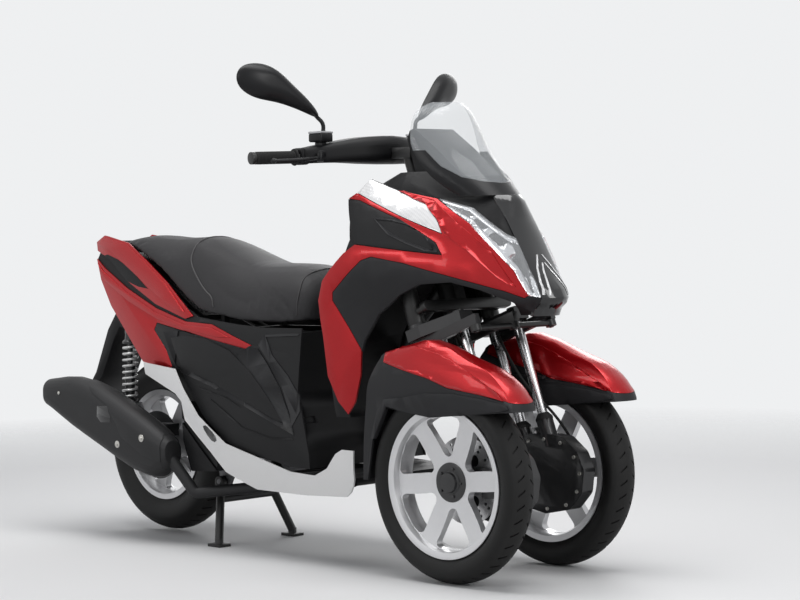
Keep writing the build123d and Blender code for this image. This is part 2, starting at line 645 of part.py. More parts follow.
TAIL_WALL = [(-480, 240, 214, 450, 192, 700, 160), (-760, 240, 210, 480, 186, 720, 152),
             (-1000, 330, 198, 560, 168, 760, 138), (-1250, 450, 168, 660, 137, 830, 108),
             (-1560, 600, 122, 740, 104, 880, 82)]
SILL_WALL = [(-300, 165, 200, 250, 220, 345, 222), (-560, 165, 190, 220, 213, 320, 215),
             (-820, 165, 182, 260, 214, 390, 214), (-1010, 240, 173, 380, 205, 500, 198),
             (-1225, 380, 158, 480, 180, 580, 172)]              # x, low z and y, middle z and y, high z and y
TAIL_TOP = [(-1538, 852), (-1500, 872), (-1375, 848), (-1265, 792), (-1160, 735), (-1020, 642), (-1055, 634),
            (-1205, 673), (-1360, 738), (-1465, 802), (-1528, 826)]
TAIL_BOW = [(-1530, 805), (-1485, 777), (-1355, 717), (-1200, 662), (-1050, 627), (-930, 622), (-840, 594),
            (-750, 568), (-775, 556), (-925, 578), (-1045, 598), (-1188, 620), (-1198, 600), (-1130, 545),
            (-1095, 500), (-1110, 492), (-1240, 508), (-1345, 595), (-1430, 665), (-1495, 740)]
SIDE_COVER = [(-553, 618), (-700, 617), (-830, 624), (-940, 634), (-985, 637), (-990, 626), (-930, 622),
              (-840, 594), (-750, 568), (-775, 556), (-925, 578), (-1045, 598), (-1188, 620),
              (-1198, 600), (-1130, 545), (-1095, 500), (-1055, 497),
              (-1010, 442), (-940, 372), (-820, 303), (-710, 278), (-560, 252), (-486, 252), (-494, 292),
              (-551, 455)]
SILL = [(-312, 312), (-356, 312), (-380, 300), (-415, 260), (-465, 238), (-560, 242), (-710, 277),
        (-820, 302), (-940, 371), (-1010, 441), (-1055, 496), (-1210, 509), (-1200, 476), (-1046, 428),
        (-1016, 406), (-1005, 356), (-890, 272), (-835, 222), (-715, 182), (-520, 181), (-330, 190), (-318, 205)]
SIDE_LINER = [(-562, 612), (-690, 609), (-1000, 640), (-1500, 855), (-1530, 800), (-1440, 670), (-1340, 590),
              (-1220, 505), (-1050, 490), (-1000, 430), (-930, 360), (-820, 296), (-700, 270), (-500, 253),
              (-505, 292), (-560, 455)]
APRON = [(-558, 606), (-572, 606), (-568, 455), (-512, 292), (-502, 253), (-490, 253), (-498, 292), (-554, 455)]
WALL_T = 5.0


def tail_panels():
    """Painted upper rail and lower bow on both sides of the tail."""
    wall = side_wall(TAIL_WALL, WALL_T, WALL_T - SEAT)
    return both_sides((wall & panel_prism(TAIL_TOP, grow=0)) + (wall & panel_prism(TAIL_BOW)))


def side_covers():
    """Black covers under the seat, with the apron that joins them ahead."""
    wall = side_wall(TAIL_WALL, WALL_T, WALL_T - SEAT) & panel_prism(SIDE_COVER)
    return both_sides(wall)


def body_liner():
    """Inner walls behind the covers, closed ahead by the apron and behind by the tail plate."""
    wall = side_wall(TAIL_WALL, 0, 4) & panel_prism(SIDE_LINER, grow=0)
    apron = side_prism(APRON, -WIDE, WIDE)
    inside = loft([wall_fill(*row, 1) for row in between(TAIL_WALL, 3)], ruled=True)
    apron = apron & inside
    plate = side_prism([(-1528, 800), (-1500, 855), (-1492, 850), (-1520, 796)], -WIDE, WIDE) & inside
    tie = box_between((-1450, -WIDE, 778), (-1400, WIDE, 782)) & inside
    return wall + wall.mirror(Plane.XZ) + apron + plate + tie


def wall_fill(x, z_low, y_low, z_mid, y_mid, z_high, y_high, inset):
    """The whole cross section between the two side walls."""
    left = ThreePointArc((x, y_low - inset, z_low), (x, y_mid - inset, z_mid), (x, y_high - inset, z_high))
    top = Line(left @ 1, (x, inset - y_high, z_high))
    right = ThreePointArc(top @ 1, (x, inset - y_mid, z_mid), (x, inset - y_low, z_low))
    return make_face([left, top, right, Line(right @ 1, left @ 0)])


def sills():
    """White lower covers."""
    wall = side_wall(SILL_WALL, WALL_T, WALL_T - SEAT) & panel_prism(SILL, grow=0)
    covers = side_wall(TAIL_WALL, WALL_T + SEAT, 60)
    return both_sides(wall - covers)


def floorboard():
    inside = loft([wall_fill(*row, 0) for row in between(SILL_WALL, 3)], ruled=True)
    board = box_between((-505, -WIDE, FLOOR_Z - FLOOR_T), (-330, WIDE, FLOOR_Z)) & inside
    return board - tube_path(SPINE, SPINE_R + SEAT, 70)


# Seat, storage, tail lamp

SEAT_ROWS = [(-556, 642, 92, 690), (-570, 636, 128, 730), (-610, 630, 152, 768), (-700, 627, 164, 781),
             (-830, 632, 160, 785), (-910, 643, 156, 806), (-1000, 656, 148, 838), (-1080, 694, 140, 858),
             (-1210, 772, 120, 857), (-1350, 828, 98, 866), (-1428, 842, 70, 858)]    # x, low z, half width, top z
SEAT_HINGE = (-580.0, 0.0, 619.0)
BOX_TOP = 607.0
BOX = [(-592, 606), (-600, 470), (-640, 440), (-900, 440), (-930, 470), (-930, 606)]
BOX_HALF = 112.0
BOX_WALL = 4.0
HINGE_R = 5.0


def seat():
    sections = []
    for x, low, half, top in between(SEAT_ROWS, 3):
        rise = top - low
        base = Line((x, -half, low), (x, half, low))
        left = ThreePointArc(base @ 1, (x, 0.97 * half, low + 0.5 * rise), (x, 0.66 * half, top - 0.1 * rise))
        crown = ThreePointArc(left @ 1, (x, 0, top), (x, -0.66 * half, top - 0.1 * rise))
        right = ThreePointArc(crown @ 1, (x, -0.97 * half, low + 0.5 * rise), base @ 0)
        sections.append(make_face([base, left, crown, right]))
    return loft(sections, ruled=True)


def seat_base():
    """Hinge ears and rear rests of the seat."""
    x, _, z = SEAT_HINGE
    ear = side_prism([(x - 7, z - 7), (x + 7, z - 7), (x + 9, z + 24), (x - 30, z + 24), (x - 9, z + 2)], 30, 38)
    ear -= rod((x, 20, z), (x, 50, z), HINGE_R + RUNNING)
    rest = box_between((-946, 100, BOX_TOP + SEAT), (-932, 118, 690))
    return both_sides((ear + rest) - seat())


def storage_box():
    outside = side_prism(BOX, -BOX_HALF, BOX_HALF)
    inner = [(x + (BOX_WALL if x < -745 else -BOX_WALL), z + (BOX_WALL if z < 460 else 0)) for x, z in BOX]
    inner = [(x, z + 20 if z > 600 else z) for x, z in inner]
    tub = outside - side_prism(inner, BOX_WALL - BOX_HALF, BOX_HALF - BOX_WALL)
    rim = box_between((-952, -128, BOX_TOP - 4), (-572.3, 128, BOX_TOP))
    rim -= box_between((-926, -108, BOX_TOP - 20), (-596, 108, BOX_TOP + 20))
    x, _, z = SEAT_HINGE
    lug = box_between((x - 7, 22, BOX_TOP - 1), (x + 7, 29, z + 4))
    return tub + rim + lug + lug.mirror(Plane.XZ) + rod((x, -42, z), (x, 42, z), HINGE_R)


def tail_lamp():
    return box_between((-1536, -60, 800), (-1528.5, 60, 845))


# Rear end

FENDER_REAR = [(-1340, 560), (-1420, 612), (-1490, 640), (-1530, 590), (-1592, 462), (REAR_END, 385),
               (-1640, 372), (-1560, 450), (-1500, 560), (-1470, 600), (-1420, 585), (-1345, 540)]


def rear_fender():
    guard = side_prism(FENDER_REAR, -66, 66)
    stay = box_between((-1440, -60, 600), (-1410, 60, CROSS_BARS[-1][2] - CROSS_R - SEAT))
    return guard + stay


def shocks():
    top, foot = Vector(*SHOCK_TOP), Vector(*SHOCK_FOOT)
    along = (top - foot).normalized()
    shock = rod(foot, top, 11)
    for end in (top, foot):
        shock += rod(end - Vector(0, 10, 0), end + Vector(0, 10, 0), 15)
    length = (top - foot).length
    for index in range(9):
        low = foot + along * (24 + index * (length - 56) / 8)
        shock += rod(low, low + along * 8, SPRING_R)
    return both_sides(shock)


ENGINE_LOW = (-1010.0, -104.0, 205.0)
ENGINE_HIGH = (-748.0, 92.0, 412.0)
RADIATOR = [(-1068, 392), (-1050, 405), (-915, 236), (-925, 214), (-1030, 208), (-1062, 290)]
DRIVE = [(-790, 240), (-830, 372), (-900, 400), (-1010, 392), (-1290, 334), (-1352, 330), (-1372, 300),
         (-1366, 222), (-1300, 200), (-1000, 194), (-830, 206)]
STAND_PIVOT = (-1000.0, 0.0, 172.0)
STAND_PIN_R = 9.0
STAND_FOOT = (-952.0, 138.0)          # x and y of a foot's pad
STAND_LEG_R = 12.0


def engine():
    block = box_between(ENGINE_LOW, ENGINE_HIGH)
    x, _, z = STAND_PIVOT
    ear = side_prism([(x - 22, 206), (x - 14, z - 14), (x + 14, z - 14), (x + 40, 206)], 58, 74, 4)
    hinge = ear + rod((x, 50, z), (x, 94, z), STAND_PIN_R)
    return block + hinge + hinge.mirror(Plane.XZ)


def drive_case():
    """Belt drive on the left, which carries the rear axle, and the short arm on the right."""
    case = side_prism(DRIVE, 93, 176, 14)
    case += side_prism([(-1330, 300), (-1376, 300), (-1374, 380), (-1340, 384)], 93, 114, 5)
    arm = side_prism([(-1010.3, 250), (-1010.3, 330), (-1300, 300), (-1336, 384), (-1374, 382), (-1372, 232),
                      (-1290, 222)], -114, -94, 5)
    axle = rod((REAR_AXLE_X, -113, REAR_AXLE_Z), (REAR_AXLE_X, 120, REAR_AXLE_Z), AXLE_R)
    return case + axle + arm


def radiator_cover():
    cover = side_prism(RADIATOR, -168, -114.3, 8) + box_between((-990, -115, 260), (-940, -104.25, 330))
    for index in range(9):
        middle = Vector(-940 - 20 * index, -168, 236 + 18 * index)
        groove = Pos(*middle) * Rot(0, 40, 0) * Box(150, 14, 6)
        cover -= groove
    return cover


MUFFLER = [(-1067, 262, 30, 32), (-1112, 258, 42, 66), (-1207, 285, 47, 84), (-1362, 346, 48, 86),
           (-1492, 385, 46, 74), (-1592, 404, 42, 48), (-1626, 408, 36, 40)]     # x, centre z, half width, half height
MUFFLER_Y = -202.0


def muffler():
    sections = []
    for x, z, half_y, half_z in between(MUFFLER, 2):
        plane = Plane(origin=(x, MUFFLER_Y, z), x_dir=(0, 1, 0), z_dir=(-1, 0, 0))
        sections.append((plane * RectangleRounded(2 * half_y, 2 * half_z, 0.9 * min(half_y, half_z))).face())
    can = loft(sections, ruled=True)
    pipe = tube_path([(-1090, MUFFLER_Y, 255), (-1010, -172, 148), (-860, -60, 165), (-800, -40, 204.7)], 16, 22)
    hanger = box_between((-1210, -158, 300), (-1150, -114.3, 330))
    return can + (pipe - box_between(ENGINE_LOW, ENGINE_HIGH)) + hanger


# Centre stand

def centre_stand():
    x, _, z = STAND_PIVOT
    foot_x, foot_y = STAND_FOOT
    boss = rod((x, 76, z), (x, 94, z), STAND_PIN_R + 8)
    leg = rod((x, 86, z), (foot_x, foot_y, STAND_LEG_R + 4), STAND_LEG_R)
    pad = box_between((foot_x - 26, foot_y - 20, 0), (foot_x + 26, foot_y + 20, 8))
    half = boss + leg + pad + rod((foot_x, foot_y, 0), (foot_x, foot_y, 22), STAND_LEG_R)
    half -= rod((x, 60, z), (x, 100, z), STAND_PIN_R + RUNNING)
    share = 0.3
    cross_x, cross_z = x + share * (foot_x - x), z * (1 - share) + share * 16
    cross_y = 86 + share * (foot_y - 86)
    return half + half.mirror(Plane.XZ) + rod((cross_x, -cross_y, cross_z), (cross_x, cross_y, cross_z), 10)


# Nodes

def placed_wheel(shape, side):
    turned = shape if side > 0 else shape.mirror(Plane.XZ)
    return Pos(0, side * WHEEL_Y, FRONT_TYRE_R) * turned


def nodes():
    pieces = {}
    front_tyre = tyre(FRONT_TYRE_R, FRONT_TYRE_W, FRONT_BEAD_R, FRONT_BEAD_HALF)
    front_wheel, brake_disc = front_rim(), front_disc()
    arch, skirt = fender(), fender_skirt()
    for name, side in (("left", 1), ("right", -1)):
        pieces["tyre_front_" + name] = placed_wheel(front_tyre, side)
        pieces["rim_front_" + name] = placed_wheel(front_wheel, side)
        pieces["disc_front_" + name] = placed_wheel(brake_disc, side)
        pieces["fork_" + name] = fork(side)
        pieces["fender_" + name] = arch if side > 0 else arch.mirror(Plane.XZ)
        pieces["fender_skirt_" + name] = skirt if side > 0 else skirt.mirror(Plane.XZ)
    rear = Pos(REAR_AXLE_X, 0, REAR_AXLE_Z)
    pieces["tyre_rear"] = rear * tyre(REAR_TYRE_R, REAR_TYRE_W, REAR_BEAD_R, REAR_BEAD_HALF)
    pieces["rim_rear"] = rear * rear_rim()
    makers = [tie_rod, leaning_arms, steering_heads, frame, cowl_red, cowl_side_vent, signal_lenses, headlamps,
              cowl_grey, cowl_nose, cowl_liner, dash, windscreen, handlebar, grips, bar_cover, levers, mirrors,
              tail_panels, side_covers, body_liner, sills, floorboard, seat, seat_base, storage_box, tail_lamp,
              rear_fender, shocks, engine, drive_case, radiator_cover, muffler, centre_stand]
    for make in makers:
        pieces[make.__name__] = make()
    return pieces


for name, piece in nodes().items():
    export_step(Pos(FRONT_AXLE_X, 0, 0) * piece, "parts/" + name + ".step")
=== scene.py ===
# %% [markdown]
# # Dressing a leaning three-wheeled scooter
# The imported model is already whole: frame, covers, wheels, steering and seat are solids at their real
# size, each on the body that it moves with. This lesson gives them their looks. The frame is fixed, so
# every new piece has a known place and none has to be fitted by eye.

# %% Load the frame and note its size
import bpy, bmesh, json
from contextlib import contextmanager
from math import atan2, cos, hypot, pi, radians, sin
from mathutils import Matrix, Vector
from mathutils.bvhtree import BVHTree


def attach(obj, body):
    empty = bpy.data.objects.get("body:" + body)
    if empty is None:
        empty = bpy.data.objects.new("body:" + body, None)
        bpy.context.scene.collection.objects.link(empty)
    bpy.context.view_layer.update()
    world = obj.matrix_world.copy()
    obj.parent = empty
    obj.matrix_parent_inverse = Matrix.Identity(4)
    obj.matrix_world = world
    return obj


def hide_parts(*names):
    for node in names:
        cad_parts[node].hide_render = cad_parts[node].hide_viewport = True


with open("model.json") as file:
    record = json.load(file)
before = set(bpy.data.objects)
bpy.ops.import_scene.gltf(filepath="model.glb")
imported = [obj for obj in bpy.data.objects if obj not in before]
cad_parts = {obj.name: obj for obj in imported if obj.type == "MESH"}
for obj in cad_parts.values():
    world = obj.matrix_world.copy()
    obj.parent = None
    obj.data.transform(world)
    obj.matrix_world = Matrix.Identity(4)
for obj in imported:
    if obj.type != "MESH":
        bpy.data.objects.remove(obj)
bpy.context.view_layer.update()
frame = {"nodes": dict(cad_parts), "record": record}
NODES = frame["nodes"]
BODY_OF = {node: body for body, members in frame["record"]["behaviour"]["bodies"].items() for node in members}

AXLE_X = 0.7025            # the tables below measure x from the front axle, as the part's source does
WHEEL_Y, WHEELBASE = 0.1925, 1.310
FRONT_CENTRE = Vector((AXLE_X, WHEEL_Y, 0.250))
REAR_CENTRE = Vector((AXLE_X - WHEELBASE, 0, 0.257))
UP, ACROSS = Vector((0, 0, 1)), Vector((0, 1, 0))


def metres(x, y, z):
    """A point of the drawing, in millimetres from the front axle, in the frame's metres."""
    return Vector((x / 1000 + AXLE_X, y / 1000, z / 1000))


def spot(place):
    """A vector stays as it is, and three numbers are a point of the drawing."""
    return place if isinstance(place, Vector) else metres(*place)

# %% [markdown]
# ## The camera
# The photograph was taken with a long lens from the front right, about level with the dash. Its place was
# worked out once from the wheel centres, the tyre contacts and the bar ends. A camera is set by its own
# three axes, so the yaw, pitch and roll are turned into those axes and written into its matrix.

# %% Set the camera
CAMERA_AT = metres(3698, -4079, 877)
YAW, PITCH, ROLL = radians(134.86), radians(-1.88), radians(-1.04)
FOCAL_PIXELS, PICTURE_WIDTH, SENSOR_WIDTH = 2188, 800, 36

forward = Vector((cos(PITCH) * cos(YAW), cos(PITCH) * sin(YAW), sin(PITCH)))
level_right = forward.cross(UP).normalized()
level_up = level_right.cross(forward)
right = level_right * cos(ROLL) + level_up * sin(ROLL)
up = level_up * cos(ROLL) - level_right * sin(ROLL)

camera_data = bpy.data.cameras.new("camera")
camera_data.sensor_width = SENSOR_WIDTH
camera_data.lens = FOCAL_PIXELS / PICTURE_WIDTH * SENSOR_WIDTH
camera = bpy.data.objects.new("camera", camera_data)
bpy.context.collection.objects.link(camera)
rows = [(right[axis], up[axis], -forward[axis], CAMERA_AT[axis]) for axis in range(3)]
camera.matrix_world = Matrix((*rows, (0, 0, 0, 1)))
bpy.context.scene.camera = camera
print("lens: %.1f mm" % camera_data.lens)

# %% [markdown]
# ## Writing materials as sums
# A material is a graph of nodes, and drawing it by hand in code soon hides the idea behind the wiring.
# So one small class wraps a socket: adding or multiplying two wrapped sockets adds the Math node that does
# it. Any other node comes from one method, which takes its settings first and then its sockets.

# %% A socket that can be reckoned with
class Wire:
    """An output socket of a material, with arithmetic."""

    def __init__(self, tree, socket):
        self.tree, self.socket = tree, socket

    def math(self, operation, *others, clamp=False):
        node = self.tree.nodes.new("ShaderNodeMath")
        node.operation, node.use_clamp = operation, clamp
        for slot, value in zip(node.inputs, (self, *others)):
            plug(self.tree, slot, value)
        return Wire(self.tree, node.outputs[0])

    def __add__(self, other):
        return self.math("ADD", other)

    def __sub__(self, other):
        return self.math("SUBTRACT", other)

    def __rsub__(self, other):
        return self.math("MULTIPLY", -1.0).math("ADD", other)

    def __mul__(self, other):
        return self.math("MULTIPLY", other)

    def __truediv__(self, other):
        return self.math("DIVIDE", other)

    __radd__, __rmul__ = __add__, __mul__

    def above(self, edge, soft):
        """0 below the edge and 1 above it, over a soft width."""
        return ((self - edge) / soft + 0.5).math("ADD", 0.0, clamp=True)


def plug(tree, slot, value):
    """Links a wire to a socket, or writes a value into it. One number is a grey where a colour is asked."""
    if isinstance(value, Wire):
        tree.links.new(value.socket, slot)
    elif slot.type == "RGBA":
        slot.default_value = (*value, 1.0) if isinstance(value, tuple) else (value, value, value, 1.0)
    else:
        slot.default_value = value

# %% One class for a finish
class Finish:
    """A material with a Principled shader, named for what it covers."""

    def __init__(self, name, **sockets):
        self.material = bpy.data.materials.new(name)
        self.material.use_nodes = True
        self.tree = self.material.node_tree
        self.shader = self.tree.nodes["Principled BSDF"]
        self.give(**sockets)

    def give(self, **sockets):
        """Sets shader sockets. A name's underscores are its spaces."""
        for name, value in sockets.items():
            plug(self.tree, self.shader.inputs[name.replace("_", " ")], value)
        return self

    def node(self, kind, out=0, **sockets):
        """Adds any node, sets its sockets by name, and gives one output back."""
        node = self.tree.nodes.new("ShaderNode" + kind)
        for name, value in sockets.items():
            plug(self.tree, node.inputs[name], value)
        return Wire(self.tree, node.outputs[out])

    def place(self):
        """Where a point is on the object, in metres."""
        return self.node("TexCoord", out="Object")

    def axes(self):
        node = self.tree.nodes.new("ShaderNodeSeparateXYZ")
        plug(self.tree, node.inputs[0], self.place())
        return [Wire(self.tree, output) for output in node.outputs]

    def noise(self, size, detail=2.0, rough=0.5):
        """Cloudy values around 0.5, with patches about size metres wide."""
        return self.node("TexNoise", Scale=1 / size, Detail=detail, Roughness=rough, Vector=self.place())

    def cells(self, size):
        """A mosaic whose stones are about size metres wide."""
        return self.node("TexVoronoi", Scale=1 / size, Vector=self.place())

    def mix(self, share, low, high):
        """One colour where share is 0 and the other where it is 1."""
        node = self.tree.nodes.new("ShaderNodeMix")
        node.data_type = "RGBA"
        for index, value in (("Factor", share), (6, low), (7, high)):
            plug(self.tree, node.inputs[index], value)
        return Wire(self.tree, node.outputs[2])

    def relief(self, height, depth, strength=1.0):
        """Bump whose full height is depth metres."""
        return self.give(Normal=self.node("Bump", Height=height, Distance=depth, Strength=strength))

# %% [markdown]
# ## Painted panels
# The panels are lacquered plastic: a red base full of metal flakes under a clear coat. The flakes are
# smaller than a millimetre, so they only make the colour glitter a little. A very slight waviness in the
# coat, which painters call orange peel, is what tells paint from a rendered plastic.

# %% Red lacquer and pearl white
red_lacquer = Finish("red_lacquer", Metallic=0.6, Coat_Weight=0.3, Coat_Roughness=0.04, Coat_IOR=1.45)
flakes = red_lacquer.cells(0.0007)
patches = red_lacquer.noise(0.06, detail=3)
red_lacquer.give(
    Base_Color=red_lacquer.mix(flakes * 0.5 + patches * 0.3, (0.32, 0.0010, 0.0035), (0.50, 0.0018, 0.0065)),
    Roughness=flakes * 0.12 + 0.24)
red_lacquer.relief(red_lacquer.noise(0.009, detail=1), 0.00012, 0.5)

pearl_white = Finish("pearl_white", Metallic=0.05, Coat_Weight=0.8, Coat_Roughness=0.05)
pearl = pearl_white.cells(0.0009)
pearl_white.give(Base_Color=pearl_white.mix(pearl, (0.74, 0.735, 0.73), (0.82, 0.82, 0.815)),
                 Roughness=pearl * 0.1 + 0.3)
pearl_white.relief(pearl_white.noise(0.010, detail=1), 0.0001, 0.5)

# %% [markdown]
# ## Moulded plastics
# Unpainted covers have a grain that is etched into the mould. It breaks the gloss up and hides
# fingerprints. One maker's function gives every such plastic, because they differ only in colour, gloss
# and the size of the grain. Handling leaves patches that are a trace paler and rougher.

# %% Moulded plastic in several greys
def moulded(name, dark, pale, gloss, grain=0.0009, depth=0.00012, coat=0.0):
    finish = Finish(name, Coat_Weight=coat, Coat_Roughness=0.08, Specular_IOR_Level=0.22)
    pits = finish.noise(grain, detail=3, rough=0.6)
    worn = finish.noise(0.11, detail=4)
    finish.give(Base_Color=finish.mix(worn * 0.7 + pits * 0.3, dark, pale),
                Roughness=worn * 0.16 + pits * 0.1 + gloss)
    return finish.relief(pits, depth)


black_plastic = moulded("black_plastic", (0.004, 0.004, 0.0045), (0.009, 0.009, 0.010), 0.38)
grey_plastic = moulded("grey_plastic", (0.013, 0.013, 0.014), (0.022, 0.022, 0.024), 0.38)
satin_black = moulded("satin_black", (0.007, 0.007, 0.008), (0.013, 0.013, 0.014), 0.2, 0.002, 0.00004)
piano_black = moulded("piano_black", (0.004, 0.004, 0.005), (0.006, 0.006, 0.007), 0.08, 0.02, 0.00002, 1.0)
rubber_black = moulded("rubber_black", 0.012, 0.024, 0.55, 0.0015, 0.00018)

# %% [markdown]
# ## Metals
# Frame tubes and castings are powder coated black. The wheels are cast and then painted silver, with the
# faint pebbling of a casting. The discs are ground, which leaves fine scratches.

# %% Coated, cast and ground metals
def metal(name, dark, pale, gloss, grain, depth, metallic=1.0, coat=0.0):
    finish = Finish(name, Metallic=metallic, Coat_Weight=coat, Coat_Roughness=0.1)
    pebble = finish.noise(grain, detail=3)
    stain = finish.noise(0.05, detail=4, rough=0.6)
    finish.give(Base_Color=finish.mix(stain * 0.6 + pebble * 0.4, dark, pale),
                Roughness=stain * 0.2 + pebble * 0.1 + gloss)
    return finish.relief(pebble, depth)


powder_black = metal("powder_black", 0.005, 0.012, 0.32, 0.0014, 0.00008, 0.2, 0.1)
wheel_silver = metal("wheel_silver", (0.60, 0.60, 0.61), (0.74, 0.74, 0.75), 0.2, 0.0012, 0.00005, 0.55, 0.6)
fork_silver = metal("fork_silver", (0.50, 0.50, 0.51), (0.66, 0.66, 0.67), 0.12, 0.003, 0.00002)
fork_black = metal("fork_black", (0.012, 0.012, 0.013), (0.030, 0.030, 0.031), 0.28, 0.0016, 0.0001, 0.3, 0.3)
engine_casting = metal("engine_casting", (0.10, 0.10, 0.105), (0.20, 0.20, 0.205), 0.36, 0.0016, 0.00025, 0.8)
case_silver = metal("case_silver", (0.34, 0.34, 0.35), (0.50, 0.50, 0.51), 0.28, 0.0016, 0.00015, 0.8)
spring_white = metal("spring_white", (0.62, 0.62, 0.61), (0.75, 0.75, 0.74), 0.22, 0.004, 0.00002, 0.3, 0.6)
bolt_zinc = metal("bolt_zinc", (0.42, 0.41, 0.38), (0.60, 0.59, 0.56), 0.24, 0.002, 0.00003)
muffler_black = metal("muffler_black", (0.012, 0.012, 0.013), (0.026, 0.026, 0.027), 0.4, 0.0012, 0.00012, 0.4)
chrome = metal("chrome", (0.80, 0.80, 0.81), 0.90, 0.03, 0.01, 0.00001)

ground_steel = Finish("ground_steel", Metallic=1.0)
scratches = ground_steel.noise(0.0004, detail=2)
sheen = ground_steel.noise(0.03, detail=3)
ground_steel.give(Base_Color=ground_steel.mix(sheen, (0.42, 0.42, 0.43), 0.60), Roughness=scratches * 0.2 + 0.2)
ground_steel.relief(scratches, 0.00004)

# %% [markdown]
# ## Clear and coloured plastics
# The screen and the headlamps are clear polycarbonate. Both keep their thickness and let most of the light
# straight through. Coloured lenses get a denser colour and a fine pattern of prisms moulded inside them.

# %% Clear screen, lenses and mirror glass
clear_screen = Finish("clear_screen", Base_Color=(0.62, 0.65, 0.67), Roughness=0.04, IOR=1.5, Alpha=0.2)
clear_lens = Finish("clear_lens", Base_Color=(0.80, 0.82, 0.84), Roughness=0.02, IOR=1.5, Alpha=0.2)
mirror_glass = Finish("mirror_glass", Base_Color=(0.80, 0.82, 0.84), Roughness=0.02, Metallic=1.0)


def lens(name, deep, bright, across):
    finish = Finish(name, Roughness=0.12, Coat_Weight=1.0, Coat_Roughness=0.02)
    x, y, z = finish.axes()
    ribs, rows = [(way * (2 * pi / across)).math("SINE") * 0.5 + 0.5 for way in (x + z, y)]
    finish.give(Base_Color=finish.mix(ribs * 0.5 + rows * 0.5, deep, bright))
    return finish.relief(ribs * rows, 0.0002, 0.4)


white_lens = lens("white_lens", 0.74, 0.88, 0.005)
red_lens = lens("red_lens", (0.22, 0.003, 0.003), (0.55, 0.012, 0.010), 0.006)

# %% [markdown]
# ## Working by operator
# Blender's modelling operators act on whatever is selected. These few helpers do what a hand does all day:
# open one piece for editing, pick faces by their place, apply a modifier, draw an outline point by point,
# turn it round an axle, and at last fit the piece to its body.

# %% Helpers for editing a piece
def only(piece):
    """Makes one piece the selected and active one."""
    bpy.ops.object.select_all(action="DESELECT")
    bpy.context.view_layer.objects.active = piece
    piece.select_set(True)


@contextmanager
def editing(piece):
    """Edit mode on one piece, with everything selected."""
    only(piece)
    bpy.ops.object.mode_set(mode="EDIT")
    bpy.ops.mesh.select_all(action="SELECT")
    yield
    bpy.ops.object.mode_set(mode="OBJECT")


def pick(piece, kind, test):
    """In edit mode, selects the faces or vertices whose place and normal pass a test."""
    bpy.ops.mesh.select_mode(type=kind)
    bpy.ops.mesh.select_all(action="DESELECT")
    mesh = bmesh.from_edit_mesh(piece.data)
    if kind == "FACE":
        for face in mesh.faces:
            face.select_set(bool(test(face.calc_center_median(), face.normal)))
    else:
        for vertex in mesh.verts:
            vertex.select_set(bool(test(vertex.co, vertex.normal)))
    mesh.select_flush_mode()
    bmesh.update_edit_mesh(piece.data)


def extrude(way):
    bpy.ops.mesh.extrude_region_move(TRANSFORM_OT_translate={"value": way})


def named(piece, name):
    piece.name = piece.data.name = name
    return piece


def frozen(piece):
    """Writes a piece's place, turn and size into its mesh."""
    bpy.ops.object.transform_apply(location=True, rotation=True, scale=True)
    return piece


def use(piece, kind, **settings):
    """Adds a modifier and applies it."""
    modifier = piece.modifiers.new(kind.lower(), kind)
    for name, value in settings.items():
        setattr(modifier, name, value)
    only(piece)
    bpy.ops.object.modifier_apply(modifier=modifier.name)
    return piece


def half_round(piece, width, segments=3, limit=40):
    """Rounds every edge that is sharper than a limit."""
    return use(piece, "BEVEL", width=width, segments=segments, limit_method="ANGLE", angle_limit=radians(limit))


def smoothed(piece, angle):
    only(piece)
    bpy.ops.object.shade_smooth_by_angle(angle=radians(angle))
    return piece


MERGE = 0.00002            # points closer than this, in metres, become one


def tidy(piece, angle=32):
    """Merges doubles, turns the faces outwards and smooths all but the sharp edges."""
    with editing(piece):
        bpy.ops.mesh.remove_doubles(threshold=MERGE)
        bpy.ops.mesh.normals_make_consistent(inside=False)
    return smoothed(piece, angle)

# %% Helpers for making a piece
def draw(name, points):
    """Draws a closed outline vertex by vertex, by extruding the last one to the next place."""
    points = [spot(point) for point in points]
    bpy.ops.mesh.primitive_plane_add(size=0.001, location=points[0])
    piece = named(bpy.context.object, name)
    with editing(piece):
        bpy.ops.mesh.select_mode(type="VERT")
        bpy.ops.mesh.merge(type="CENTER")
        for start, end in zip(points, points[1:]):
            extrude(end - start)
        bpy.ops.mesh.select_all(action="DESELECT")
        mesh = bmesh.from_edit_mesh(piece.data)
        mesh.verts.ensure_lookup_table()
        for index in (0, len(points) - 1):
            mesh.verts[index].select_set(True)
        bmesh.update_edit_mesh(piece.data)
        bpy.ops.mesh.edge_face_add()
    return frozen(piece)


def pushed(piece, through):
    """Fills a drawn outline and pushes the face along."""
    with editing(piece):
        bpy.ops.mesh.edge_face_add()
        extrude(through)
    return piece


def turned(name, outline, centre, steps=96, axis=ACROSS):
    """Turns an outline of (along the axle, radius) round an axle, as on a lathe."""
    centre, axis = spot(centre), Vector(axis)
    side = UP if abs(axis.z) < 0.9 else Vector((1, 0, 0))
    side = (side - axis * side.dot(axis)).normalized()
    piece = draw(name, [centre + axis * along + side * radius for along, radius in outline])
    with editing(piece):
        bpy.ops.mesh.spin(steps=steps, angle=2 * pi, center=centre, axis=axis)
    return tidy(piece)


def bar(name, start, end, radius, bevel=0.0008, sides=28):
    """A round bar between two points, with softened ends."""
    start, end = spot(start), spot(end)
    along = end - start
    bpy.ops.mesh.primitive_cylinder_add(vertices=sides, radius=radius, depth=along.length,
                                        location=(start + end) / 2,
                                        rotation=along.to_track_quat("Z", "Y").to_euler())
    return tidy(half_round(frozen(named(bpy.context.object, name)), bevel, 2))


def block(name, low, high, bevel=0.002):
    """A box between two corners, with rounded edges."""
    low, high = spot(low), spot(high)
    bpy.ops.mesh.primitive_cube_add(size=1, location=(low + high) / 2)
    bpy.context.object.scale = high - low
    return tidy(use(frozen(named(bpy.context.object, name)), "BEVEL", width=bevel, segments=3))


